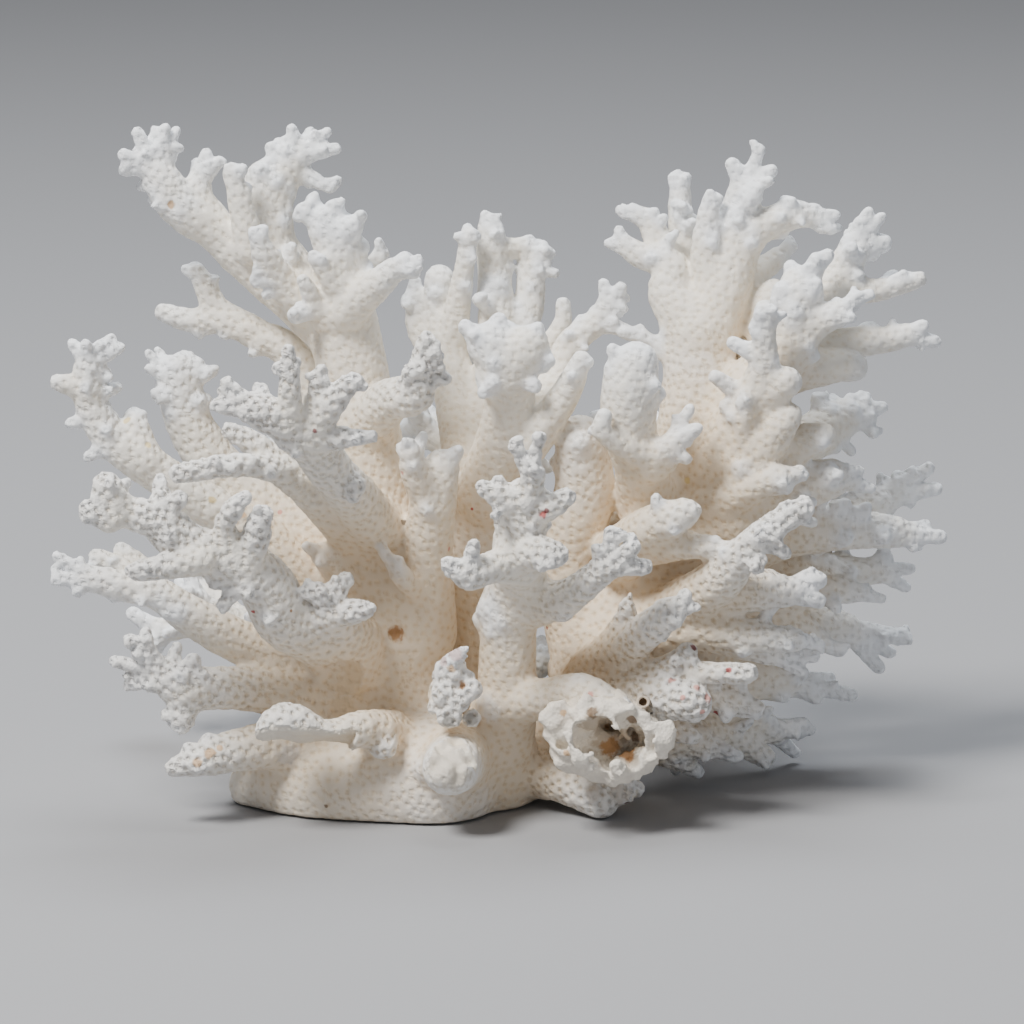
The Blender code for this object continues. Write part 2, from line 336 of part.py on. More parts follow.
# Limbs behind: name: (start, middle of the branched end, seed), in millimetres right, back and up
FAR_LIMBS = {
    "far_left_low_limb": ((-6, 8, 20), (-36, 44, 30), 3),
    "far_left_limb": ((2, 5, 44), (-10, 40, 64), 5),
    "far_low_limb": ((4, 12, 16), (-4, 58, 22), 7),
    "far_middle_limb": ((22, 8, 48), (20, 48, 72), 11),
    "far_foot_limb": ((30, 12, 14), (25, 56, 9), 13),
    "far_right_low_limb": ((42, 8, 22), (52, 54, 26), 17),
    "far_right_high_limb": ((52, 6, 52), (66, 44, 70), 19),
    "far_right_limb": ((54, 8, 34), (82, 46, 42), 23),
}

# Colours, linear red, green and blue
SMOOTH_BONE = (0.80, 0.74, 0.65, 1)
OLD_BONE = (0.66, 0.60, 0.52, 1)
CRUST = (0.72, 0.62, 0.50, 1)


def place(across, down, near):
    """World point in metres of a point drawn on the front sheet, at its depth."""
    forward = np.array([0, math.cos(VIEW_RISE), -math.sin(VIEW_RISE)])
    upward = np.array([0, math.sin(VIEW_RISE), math.cos(VIEW_RISE)])
    eye = SHEET_AIM - VIEW_DISTANCE * forward
    rightward = np.array([1, 0, 0])
    drawn = (across - SHEET_MIDDLE) * rightward + (SHEET_MIDDLE - down) * upward
    ray = SHEET_AIM + MILLIMETRE * drawn - eye
    return eye + ray * ((-MILLIMETRE * near - eye[1]) / ray[1])


def placed(point):
    across, down, near, radius = point
    return np.append(place(across, down, near), MILLIMETRE * radius)


def pulled_back(route):
    """The route with its last point moved in by its radius, so that the drawn point is the outermost one."""
    last, before = route[-1], route[-2]
    reach = last[:3] - before[:3]
    length = np.linalg.norm(reach)
    moved = last[:3] - reach / length * min(last[3], MOST_PULLED_BACK * length)
    return route[:-1] + [np.append(moved, last[3])]


def finger(tip, routes):
    """A finger from the nearest route of its limb to its tip, leaning away from the limb's root."""
    least = None
    for route in routes:
        for a, b in zip(route, route[1:]):
            along = b[:3] - a[:3]
            share = np.clip(np.dot(tip[:3] - a[:3], along) / np.dot(along, along), 0, 1)
            point = a + share * (b - a)
            gap = np.linalg.norm(tip[:3] - point[:3]) - point[3]
            if least is None or gap < least[0]:
                least = (gap, point, along / np.linalg.norm(along))
    gap, point, along = least
    base = point[:3] - along * FINGER_LEAN * max(gap, 0)
    thickness = min(point[3] * ROOT_SHARE, max(tip[3] * FINGER_FLARE, THINNEST_ROOT))
    slim_tip = np.append(tip[:3], tip[3] * FINGER_SLIM)
    return pulled_back([np.append(base, thickness), slim_tip])


def drawn_branches(name):
    """All the branches of a limb on the front sheet, in world metres."""
    routes, tips = LIMBS[name]
    routes = [[placed(point) for point in route] for route in routes]
    fingers = [finger(placed(tip), routes) for tip in tips]
    ends = [pulled_back(route) if route[-1][3] < THIN_END else route for route in routes]
    return ends + fingers


def grown_branches(start, end, seed):
    """A limb that the front sheet doesn't show: it bends up as it grows out, forks, and ends in fingers."""
    draws = np.random.default_rng(seed)
    start, end = MILLIMETRE * np.array(start), MILLIMETRE * np.array(end)
    bend = start + (end - start) * FAR_BEND
    stem = []
    for share in np.linspace(0, 1, FAR_STEM_POINTS):
        point = (1 - share) ** 2 * start + 2 * share * (1 - share) * bend + share ** 2 * end
        stem.append(np.append(point, FAR_STEM_ROOT - FAR_STEM_TAPER * share))
    out = (end - start) / np.linalg.norm(end - start)
    side = np.cross(out, [0, 0, 1])
    side = side / np.linalg.norm(side)
    lift = np.cross(side, out)
    forks = [stem]
    for stem_point, lean, rise in FAR_FORKS:
        heading = FAR_FORK_OUTWARD * out + lean * side + rise * lift
        heading = heading / np.linalg.norm(heading)
        length = draws.uniform(*FAR_FORK_LENGTH)
        first = stem[stem_point]
        forks.append([first * np.array([1, 1, 1, FAR_FORK_ROOT]),
                      np.append(first[:3] + heading * length * FAR_FORK_MIDDLE, FAR_FORK_RADII[0]),
                      np.append(first[:3] + heading * length, FAR_FORK_RADII[1])])
    branches = list(forks)
    for fork in forks:
        tip, heading = fork[-1], fork[-1][:3] - fork[-2][:3]
        heading = heading / np.linalg.norm(heading)
        across = np.cross(heading, lift + 0.1 * side)
        across = across / np.linalg.norm(across)
        over = np.cross(across, heading)
        turn = draws.uniform(0, math.tau)
        for step in range(FAR_FINGERS):
            angle = turn + step * math.tau / FAR_FINGERS + draws.uniform(-FAR_FINGER_SWING, FAR_FINGER_SWING)
            spread = FAR_FINGER_SPREAD * (math.cos(angle) * across + math.sin(angle) * over)
            way = heading * draws.uniform(*FAR_FINGER_OUTWARD) + spread
            reach = draws.uniform(*FAR_FINGER_LENGTH) * way / np.linalg.norm(way)
            thickness = draws.uniform(*FAR_FINGER_RADII)
            branches.append([np.append(tip[:3], FAR_FINGER_ROOT), np.append(tip[:3] + reach, thickness)])
    return branches


def ball_directions():
    """The directions from the middle of a round ball to its corners."""
    shape = bmesh.new()
    bmesh.ops.create_icosphere(shape, subdivisions=2, radius=1)
    directions = [point.co.copy() for point in shape.verts]
    shape.free()
    return directions


def capsule(shape, a, b, directions):
    """Adds the hull of two balls, one at each end of a stretch of branch."""
    points = [shape.verts.new(Vector(end[:3]) + way * float(end[3])) for end in (a, b) for way in directions]
    hull = bmesh.ops.convex_hull(shape, input=points)
    unused = [item for item in hull["geom_interior"] if isinstance(item, bmesh.types.BMVert)]
    bmesh.ops.delete(shape, geom=unused, context="VERTS")


def as_modified(item):
    """Replaces an object's mesh by what its modifiers make of it, and removes them."""
    graph = bpy.context.evaluated_depsgraph_get()
    made = bpy.data.meshes.new_from_object(item.evaluated_get(graph))
    old = item.data
    item.modifiers.clear()
    item.data = made
    bpy.data.meshes.remove(old)


def triangle_count(item):
    item.data.calc_loop_triangles()
    return len(item.data.loop_triangles)


def new_object(name, shape):
    mesh = bpy.data.meshes.new(name)
    shape.to_mesh(mesh)
    shape.free()
    item = bpy.data.objects.new(name, mesh)
    bpy.context.scene.collection.objects.link(item)
    return item


def fleshed(name, branches, triangles):
    """One closed faceted body around the branches of a limb."""
    shape = bmesh.new()
    directions = ball_directions()
    for branch in branches:
        for a, b in zip(branch, branch[1:]):
            capsule(shape, a, b, directions)
    item = new_object(name, shape)
    remesh = item.modifiers.new("One skin", "REMESH")
    remesh.mode = "VOXEL"
    remesh.voxel_size = VOXEL
    smooth = item.modifiers.new("Soft forks", "SMOOTH")
    smooth.factor = 0.5
    smooth.iterations = SMOOTH_ROUNDS
    as_modified(item)
    fewer = item.modifiers.new("Facets", "DECIMATE")
    fewer.ratio = min(1.0, triangles / triangle_count(item))
    as_modified(item)
    return item


def cut_at_ground(item):
    """Cuts the body off flat at the surface that the coral rests on, and closes the cut."""
    if min(point.co.z for point in item.data.vertices) >= GROUND:
        return
    shape = bmesh.new()
    shape.from_mesh(item.data)
    everything = shape.verts[:] + shape.edges[:] + shape.faces[:]
    bmesh.ops.bisect_plane(
        shape, geom=everything, dist=1e-7, plane_co=(0, 0, GROUND), plane_no=(0, 0, -1), clear_outer=True)
    rim = [edge for edge in shape.edges if edge.is_boundary]
    bmesh.ops.contextual_create(shape, geom=rim)
    bmesh.ops.triangulate(shape, faces=[face for face in shape.faces if len(face.verts) > 3])
    bmesh.ops.recalc_face_normals(shape, faces=shape.faces)
    shape.to_mesh(item.data)
    shape.free()


def largest_body(item):
    """Keeps only the largest of the separate bodies that a cut leaves."""
    shape = bmesh.new()
    shape.from_mesh(item.data)
    left = set(shape.verts)
    bodies = []
    while left:
        body, edge = set(), [left.pop()]
        while edge:
            point = edge.pop()
            body.add(point)
            for link in point.link_edges:
                other = link.other_vert(point)
                if other in left:
                    left.remove(other)
                    edge.append(other)
        bodies.append(body)
    bodies.sort(key=len, reverse=True)
    lost = [point for body in bodies[1:] for point in body]
    bmesh.ops.delete(shape, geom=lost, context="VERTS")
    shape.to_mesh(item.data)
    shape.free()


def swollen(item):
    """A copy of a body with every face moved out by the fitting gap, to cut its neighbours with."""
    shape = bmesh.new()
    shape.from_mesh(item.data)
    shape.normal_update()
    moved = []
    for point in shape.verts:
        shift = point.normal * FIT_GAP
        for face in list(point.link_faces) * EVEN_ROUNDS:
            shift += face.normal * max(0.0, FIT_GAP - shift.dot(face.normal))
        moved.append(point.co + shift * min(1.0, LONGEST_SHIFT / shift.length))
    for point, place_out in zip(shape.verts, moved):
        point.co = place_out
    copy = new_object(item.name + "_gap", shape)
    copy.hide_render = True
    copy.display_type = "WIRE"
    return copy


def boxes_meet(first, second):
    a = np.array([point.co for point in first.data.vertices])
    b = np.array([point.co for point in second.data.vertices])
    return bool(np.all(a.min(0) < b.max(0)) and np.all(b.min(0) < a.max(0)))


def volume_of(mesh):
    shape = bmesh.new()
    shape.from_mesh(mesh)
    volume = shape.calc_volume(signed=True)
    shape.free()
    return volume


def cut_back(item, cutter):
    """Cuts one body back from another, with the second solver where the first one loses the body."""
    cut = item.modifiers.new("Gap", "BOOLEAN")
    cut.operation = "DIFFERENCE"
    cut.object = cutter
    for solver in ("EXACT", "MANIFOLD"):
        cut.solver = solver
        graph = bpy.context.evaluated_depsgraph_get()
        made = bpy.data.meshes.new_from_object(item.evaluated_get(graph))
        share_kept = volume_of(made) / volume_of(item.data)
        if LEAST_KEPT < share_kept < MOST_KEPT:
            break
    item.modifiers.clear()
    item.data = made


def without_slivers(item):
    """Closes up the needle-thin facets that a cut leaves."""
    shape = bmesh.new()
    shape.from_mesh(item.data)
    bmesh.ops.dissolve_degenerate(shape, edges=shape.edges, dist=THINNEST_FACET)
    bmesh.ops.triangulate(shape, faces=[face for face in shape.faces if len(face.verts) > 3])
    shape.to_mesh(item.data)
    shape.free()


def cleared(item, cutters):
    """Cuts a body back from every body that was made before it."""
    for cutter in cutters:
        if boxes_meet(item, cutter):
            cut_back(item, cutter)
    largest_body(item)
    without_slivers(item)


def painted(item, colour, roughness):
    material = bpy.data.materials.new(item.name)
    material.use_nodes = True
    surface = material.node_tree.nodes["Principled BSDF"]
    surface.inputs["Base Color"].default_value = colour
    surface.inputs["Roughness"].default_value = roughness
    surface.inputs["Metallic"].default_value = 0
    item.data.materials.clear()
    item.data.materials.append(material)
    item.data.shade_smooth()
    item.data.set_sharp_from_angle(angle=SHARP_EDGE)


def broken_crust():
    """The broken, hollow crust low on the front: a thick bowl, open towards the viewer's right."""
    middle = Vector(place(*CRUST_SPOT))
    hollow_middle = middle + Vector(HOLLOW_SHIFT)
    tilt = Matrix.Rotation(CRUST_TILT, 4, "Y")
    bodies = []
    for name, centre, size in (("broken_crust", middle, CRUST_SIZE), ("hollow", hollow_middle, HOLLOW_SIZE)):
        shape = bmesh.new()
        bmesh.ops.create_icosphere(shape, subdivisions=3, radius=1)
        for point in shape.verts:
            waves = math.sin(5 * point.co.x + 2) * math.sin(6 * point.co.z) + 0.6 * math.sin(9 * point.co.x * point.co.z)
            point.co *= 1 + CRUST_LUMPS * waves
        bmesh.ops.transform(
            shape, matrix=Matrix.Translation(centre) @ tilt @ Matrix.Diagonal((*size, 1)), verts=shape.verts)
        bodies.append(new_object(name, shape))
    crust, hollow = bodies
    scoop = crust.modifiers.new("Hollow", "BOOLEAN")
    scoop.operation = "DIFFERENCE"
    scoop.solver = "EXACT"
    scoop.object = hollow
    fewer = crust.modifiers.new("Facets", "DECIMATE")
    fewer.ratio = CRUST_FACETS
    as_modified(crust)
    bpy.data.objects.remove(hollow)
    return crust


for item in list(bpy.data.objects):
    bpy.data.objects.remove(item)

branches_of = {name: drawn_branches(name) for name in LIMBS if name != "broken_crust"}
for name, (start, end, seed) in FAR_LIMBS.items():
    branches_of[name] = grown_branches(start, end, seed)
finished, cutters = [], []
for name, branches in branches_of.items():
    triangles = TRIANGLES_PER_LIMB + TRIANGLES_PER_BRANCH * len(branches)
    finished.append(fleshed(name, branches, triangles))
finished.append(broken_crust())
for item in finished:
    cut_at_ground(item)
    cleared(item, cutters)
    cutters.append(swollen(item))
    rough = "rough" in item.name or item.name.startswith("front_")
    colour = CRUST if "crust" in item.name else OLD_BONE if rough else SMOOTH_BONE
    painted(item, colour, 0.85)
for cutter in cutters:
    bpy.data.objects.remove(cutter)
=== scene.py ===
import math

import bpy
import numpy as np
import openvdb
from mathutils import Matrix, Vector
from mathutils.bvhtree import BVHTree


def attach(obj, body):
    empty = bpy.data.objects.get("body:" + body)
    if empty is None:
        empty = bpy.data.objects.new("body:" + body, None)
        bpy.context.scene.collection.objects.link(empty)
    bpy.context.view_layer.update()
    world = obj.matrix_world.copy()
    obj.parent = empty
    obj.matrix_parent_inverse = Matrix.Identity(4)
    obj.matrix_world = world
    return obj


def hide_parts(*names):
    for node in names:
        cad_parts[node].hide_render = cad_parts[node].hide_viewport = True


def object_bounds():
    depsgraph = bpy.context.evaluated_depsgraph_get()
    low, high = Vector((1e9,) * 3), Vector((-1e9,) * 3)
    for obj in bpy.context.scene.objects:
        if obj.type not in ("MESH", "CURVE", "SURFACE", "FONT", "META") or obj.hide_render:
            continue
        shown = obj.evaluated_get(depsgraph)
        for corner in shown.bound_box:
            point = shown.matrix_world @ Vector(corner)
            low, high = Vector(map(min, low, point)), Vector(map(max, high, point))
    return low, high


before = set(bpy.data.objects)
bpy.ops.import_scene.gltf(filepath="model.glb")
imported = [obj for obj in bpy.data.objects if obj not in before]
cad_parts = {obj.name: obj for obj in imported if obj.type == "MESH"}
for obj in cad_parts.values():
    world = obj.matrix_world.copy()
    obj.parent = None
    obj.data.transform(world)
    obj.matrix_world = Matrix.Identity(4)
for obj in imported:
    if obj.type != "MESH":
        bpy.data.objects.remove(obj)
solid_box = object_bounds()


# Camera
# A long lens, level with a seated viewer's eyes, looks down on the coral at 12 degrees.
# The front sheet that the limbs are drawn on is what this camera sees: 204.8 mm across at the aim.
MILLIMETRE = 0.001
VIEW_RISE = math.radians(12)
VIEW_DISTANCE = 1.1
SHEET_AIM = np.array([0.0294, 0.0, 0.0566])
SHEET_MIDDLE = 102.4
forward = np.array([0, math.cos(VIEW_RISE), -math.sin(VIEW_RISE)])
upward = np.array([0, math.sin(VIEW_RISE), math.cos(VIEW_RISE)])
rightward = np.array([1, 0, 0])
eye = SHEET_AIM - VIEW_DISTANCE * forward

lens = bpy.data.cameras.new("camera")
lens.angle = 2 * math.atan(SHEET_MIDDLE * MILLIMETRE / VIEW_DISTANCE)
lens.clip_start = 0.1
camera = bpy.data.objects.new("camera", lens)
camera.location = eye
camera.rotation_euler = (math.pi / 2 - VIEW_RISE, 0, 0)
bpy.context.scene.collection.objects.link(camera)
bpy.context.scene.camera = camera


def sheet_ray(across, down):
    """The way from the eye through a point of the front sheet."""
    drawn = (across - SHEET_MIDDLE) * rightward + (SHEET_MIDDLE - down) * upward
    return SHEET_AIM + MILLIMETRE * drawn - eye


def place(across, down, near):
    """World point of a point drawn on the front sheet, at its depth in front of the foot's middle."""
    ray = sheet_ray(across, down)
    return eye + ray * ((-MILLIMETRE * near - eye[1]) / ray[1])


# Floor and light
# A plain pale floor that runs back to a pale wall, one large soft lamp high on the left in front,
# and a weak wide lamp from the right, so that the lower right stays in shade as in the photo.
FLOOR_COLOUR = (0.30, 0.30, 0.31, 1)
WALL_COLOUR = (0.30, 0.31, 0.33, 1)


def flat_material(name, colour, roughness):
    material = bpy.data.materials.new(name)
    material.use_nodes = True
    surface = material.node_tree.nodes["Principled BSDF"]
    surface.inputs["Base Color"].default_value = colour
    surface.inputs["Roughness"].default_value = roughness
    return material


floor_mesh = bpy.data.meshes.new("floor")
floor_mesh.from_pydata([(-6, -3, 0), (6, -3, 0), (6, 9, 0), (-6, 9, 0)], [], [(0, 1, 2, 3)])
floor_mesh.materials.append(flat_material("pale paper", FLOOR_COLOUR, 0.9))
floor = bpy.data.objects.new("floor", floor_mesh)
floor.location.z = -0.0004
bpy.context.scene.collection.objects.link(floor)

sky = bpy.data.worlds.new("studio")
sky.use_nodes = True
sky.node_tree.nodes["Background"].inputs["Color"].default_value = WALL_COLOUR
sky.node_tree.nodes["Background"].inputs["Strength"].default_value = 0.8
bpy.context.scene.world = sky

LAMPS = {
    "key": ((-0.60, -0.60, 1.25), 0.50, 38.0, (1.0, 0.985, 0.955)),
    "top": ((0.10, 0.40, 1.2), 0.7, 13.0, (0.90, 0.95, 1.0)),
    "fill": ((0.9, -1.2, 0.35), 0.9, 2.0, (0.90, 0.95, 1.0)),
}
for lamp_name, (spot, width, power, tint) in LAMPS.items():
    lamp = bpy.data.lights.new(lamp_name, "AREA")
    lamp.shape = "DISK"
    lamp.size = width
    lamp.energy = power
    lamp.color = tint
    lamp_object = bpy.data.objects.new(lamp_name, lamp)
    lamp_object.location = spot
    lamp_object.rotation_euler = (Vector(SHEET_AIM) - Vector(spot)).to_track_quat("-Z", "Y").to_euler()
    bpy.context.scene.collection.objects.link(lamp_object)


# Foot and trunks
# The colony stands on one flat-cut foot, from which trunks of dense skeleton rise and fork.
# Their skin is fine and smooth, dotted with small flush corallites.
FINGER_SLIM = 0.82
FINGER_FLARE = 1.32
THINNEST_ROOT = 0.0015
THIN_END = 0.004
LONGEST_PULL = 0.7
ROOT_LEAN = 0.5
ROOT_SHARE = 0.9
limbs = {}


def placed(point):
    across, down, near, radius = point
    return np.append(place(across, down, near), MILLIMETRE * radius)


def pulled_back(route):
    """The route with its last point moved in by its radius, so that the drawn point is the outermost one."""
    last, before = route[-1], route[-2]
    reach = last[:3] - before[:3]
    length = np.linalg.norm(reach)
    moved = last[:3] - reach / length * min(last[3], LONGEST_PULL * length)
    return route[:-1] + [np.append(moved, last[3])]


def finger(tip, routes):
    """A finger from the nearest route of its limb to its tip, leaning away from the limb's root."""
    least = None
    for route in routes:
        for a, b in zip(route, route[1:]):
            along = b[:3] - a[:3]
            share = np.clip(np.dot(tip[:3] - a[:3], along) / np.dot(along, along), 0, 1)
            point = a + share * (b - a)
            gap = np.linalg.norm(tip[:3] - point[:3]) - point[3]
            if least is None or gap < least[0]:
                least = (gap, point, along / np.linalg.norm(along))
    gap, point, along = least
    base = point[:3] - along * ROOT_LEAN * max(gap, 0)
    thickness = min(point[3] * ROOT_SHARE, max(tip[3] * FINGER_FLARE, THINNEST_ROOT))
    slim_tip = np.append(tip[:3], tip[3] * FINGER_SLIM)
    return pulled_back([np.append(base, thickness), slim_tip])


def grow(drawn, age):
    """Notes the branches of each drawn limb, and how old and rough its outer end is, from 0 to 1."""
    for name, (routes, tips) in drawn.items():
        routes = [[placed(point) for point in route] for route in routes]
        fingers = [finger(placed(tip), routes) for tip in tips]
        ends = [pulled_back(route) if route[-1][3] < THIN_END else route for route in routes]
        limbs[name] = {"routes": ends, "fingers": fingers, "age": age}


NUB_EVERY = 0.0042
NUB_RADIUS = (0.00065, 0.0011)
NUB_REACH = (0.0006, 0.0018)
NUB_STARTS = 0.45
THICKEST_WITH_NUBS = 0.0062
NUB_LEAN = (0.2, 0.9)
NUB_ROOT = 0.5
NUB_FLARE = 1.3
ACROSS_ANY_BRANCH = [0.31, 0.52, 0.8]
nub_draws = np.random.default_rng(12)


def nubs(route, starts, every=NUB_EVERY, radii=NUB_RADIUS, reaches=NUB_REACH, rise=0):
    """Small blunt nubs that bud all round the outer part of a branch. With a rise they lean upward."""
    buds = []
    for step, (a, b) in enumerate(zip(route, route[1:])):
        along = b[:3] - a[:3]
        length = np.linalg.norm(along)
        along = along / length
        side = np.cross(along, ACROSS_ANY_BRANCH)
        side = side / np.linalg.norm(side)
        over = np.cross(along, side)
        for bud in range(nub_draws.poisson(length / every)):
            share = nub_draws.uniform()
            angle, lean = nub_draws.uniform(0, math.tau), nub_draws.uniform(*NUB_LEAN)
            radius, reach = nub_draws.uniform(*radii), nub_draws.uniform(*reaches)
            point = a + share * (b - a)
            if (step + share) / (len(route) - 1) < starts or point[3] > THICKEST_WITH_NUBS:
                continue
            way = math.cos(angle) * side + math.sin(angle) * over + lean * along + np.array([0, 0, rise])
            way = way / np.linalg.norm(way)
            base = point[:3] + way * point[3] * NUB_ROOT
            tip = point[:3] + way * (point[3] + reach - radius / 2)
            buds.append([np.append(base, radius * NUB_FLARE), np.append(tip, radius)])
    return buds


trunks = {
    "foot": ([
        [(52.4, 157, 11, 6.5), (66, 156, 14, 12.5), (86, 155.5, 17, 14)],
        [(76, 152, -10, 18), (94, 151, -12, 14)],
        [(76, 150, 2, 15), (78, 141, 4, 12)],
        [(92, 151, 22, 7), (90, 153.6, 38, 5.4)],
    ], []),
    "left_trunk": ([
        [(78, 144, 5, 12), (79, 128, 6, 10), (77, 112, 5, 9.2), (74, 98, 4, 8.4), (72, 84, 3, 7.6),
         (70.5, 73, 2, 6.6), (69, 65, 1, 6)],
        [(68, 144, 10, 9), (61, 136, 10, 6.5), (57, 130, 12, 5.5)],
        [(72, 116, 8, 6), (63, 110, 13, 2.8)],
    ], [(60.6, 109, 16, 1.3)]),
    "middle_fork": ([
        [(84, 126, 8, 7.5), (85.5, 112, 12, 5), (86.5, 101, 14, 4.6), (88, 94, 14, 3.8),
         (89.6, 92, 15, 2.8)],
        [(86.5, 101, 14, 4), (83, 94, 18, 3), (82, 90, 20, 2.4)],
        [(85, 119, 12, 3), (81.8, 116.8, 17, 2.2), (79.4, 114, 19, 2)],
    ], [(85, 86.4, 15, 1.3), (92.6, 89.4, 15, 1.3), (82, 87.4, 20, 1.7), (79, 89.4, 19, 1.2),
        (75.8, 109, 19, 1.3), (79.6, 111.2, 20, 1.5)]),
    "central_trunk": ([
        [(98, 156, 12, 9), (101, 141, 20, 6.2), (101.6, 128, 22, 5.6), (102, 121, 23, 5.8),
         (103.6, 117, 24, 5.4)],
        [(100, 141, 20, 5.5), (109, 139.6, 27, 3.9), (116, 138.5, 30, 3.8), (122, 141, 32, 3.2),
         (128, 145, 34, 2.2)],
    ], [(97.6, 121.8, 28, 2.6), (115.6, 135.2, 31, 1.3), (97, 142, 27, 3.4)]),
    "back_trunk": ([
        [(97, 153, -6, 9), (95.6, 130, -6, 6.2), (95, 114, -4, 6), (96, 100, -4, 6)],
    ], []),
    "right_trunk": ([
        [(106, 153, 2, 9), (115, 146, 4, 8.5), (120, 134, 6, 8), (126, 121, 4, 8), (133, 107, 0, 8),
         (138, 92, -2, 8), (140, 78, -4, 7.6), (140, 67, -6, 7.0)],
    ], [(132, 66.4, -4, 1.4), (124, 66, -5, 1.4)]),
    "middle_trunk": ([
        [(118, 136, 4, 7), (115, 122, 2, 6.6), (114, 110, 2, 6.6), (117, 98, 4, 6), (116, 88, 6, 5)],
    ], []),
}
grow(trunks, 0.12)


# Upper left antlers and the left crown
# Long pale branches that reach up and out, ending in short blunt fingers with white tips, tinted with painted
# cool light.
upper_left = {
    "upper_left_antler": ([
        [(69, 66, 0, 5.8), (60, 60, -4, 5.2), (52, 54, -6, 4.6), (47, 50, -6, 4.2), (43, 46, -6, 4.0),
         (38, 43, -5, 4.2), (35, 40, -5, 4.2), (32.5, 36, -5, 3.6), (29.5, 32.5, -5, 3.2)],
        [(43, 46, -6, 3.6), (40, 40, -7, 3), (39.6, 35, -8, 2.6)],
        [(50, 50, -2, 3.2), (48, 40, -2, 2.4), (45.6, 32.4, -2, 1.5)],
    ], [(27, 25.4, -5, 1.5), (31, 25, -7, 1.3), (33.2, 24.6, -6, 1.3), (35.6, 25.2, -8, 1.2),
        (23.6, 30.4, -3, 1.6), (23.6, 34.2, -4, 1.3), (30.4, 38.6, -2, 1.3), (36, 41.6, -2, 3.4),
        (41.6, 29.6, -8, 1.6), (44.4, 31.4, -7, 1.3), (39, 31.5, -10, 1.2), (49.4, 33.4, -1, 1.5)]),
    "second_antler": ([
        [(67, 66, -2, 5.8), (60, 58, -8, 6), (54, 50, -10, 5.8), (53, 42, -11, 5.2), (53, 36, -11, 4)],
        [(54, 40, -11, 4), (58, 33, -12, 3.4), (61, 30, -12, 3)],
        [(61, 62, 2, 3.6), (56, 56, 4, 3), (53, 51, 6, 2.6), (51.5, 47.5, 7, 2)],
    ], [(53.6, 28.4, -11, 1.6), (56.6, 29.4, -9, 1.2), (55.2, 27.6, -13, 1.3), (58, 24.6, -12, 1.4),
        (62.4, 25.2, -14, 1.3), (66.2, 25.8, -12, 1.3), (68.4, 29.4, -11, 1.4), (67, 38, -10, 1.5),
        (58.6, 49, -2, 1.4), (50, 45.6, 8, 1.6), (53.2, 45, 7, 1.1), (50, 56.6, 6, 2),
        (52.4, 59.6, 6, 1.3), (53.6, 57, 7, 1.1)]),
    "left_crown": ([
        [(70, 73, 2, 6.2), (69, 66, 2, 6), (68, 58, 3, 5.8), (68, 50, 4, 5), (66, 46, 4, 4.2)],
        [(69, 58, 0, 3.6), (74, 54, -4, 2.4), (77, 50, -6, 1.5)],
        [(69, 62, 6, 4.6), (74, 58, 9, 3.4), (80, 53, 11, 2.6)],
        [(67, 57, 8, 2.4), (62, 50.4, 10, 1.4)],
        [(65, 64, 6, 2.6), (60, 55, 10, 1.3)],
    ], [(59.2, 41, 5, 1.5), (61.8, 39, 3, 1.3), (66.6, 40, 6, 1.5), (71.6, 44.4, 9, 2.8),
        (78, 53.2, -6, 1.2), (81.6, 50.4, 11, 1.6), (84.6, 51.4, 12, 1.2), (84, 55, 12, 1.2),
        (57.6, 63.6, 10, 2.1), (73, 42.6, 8, 1.3), (64.4, 42, 7, 1.3), (75.4, 47.6, -4, 1.2)]),
}
grow(upper_left, 0.18)


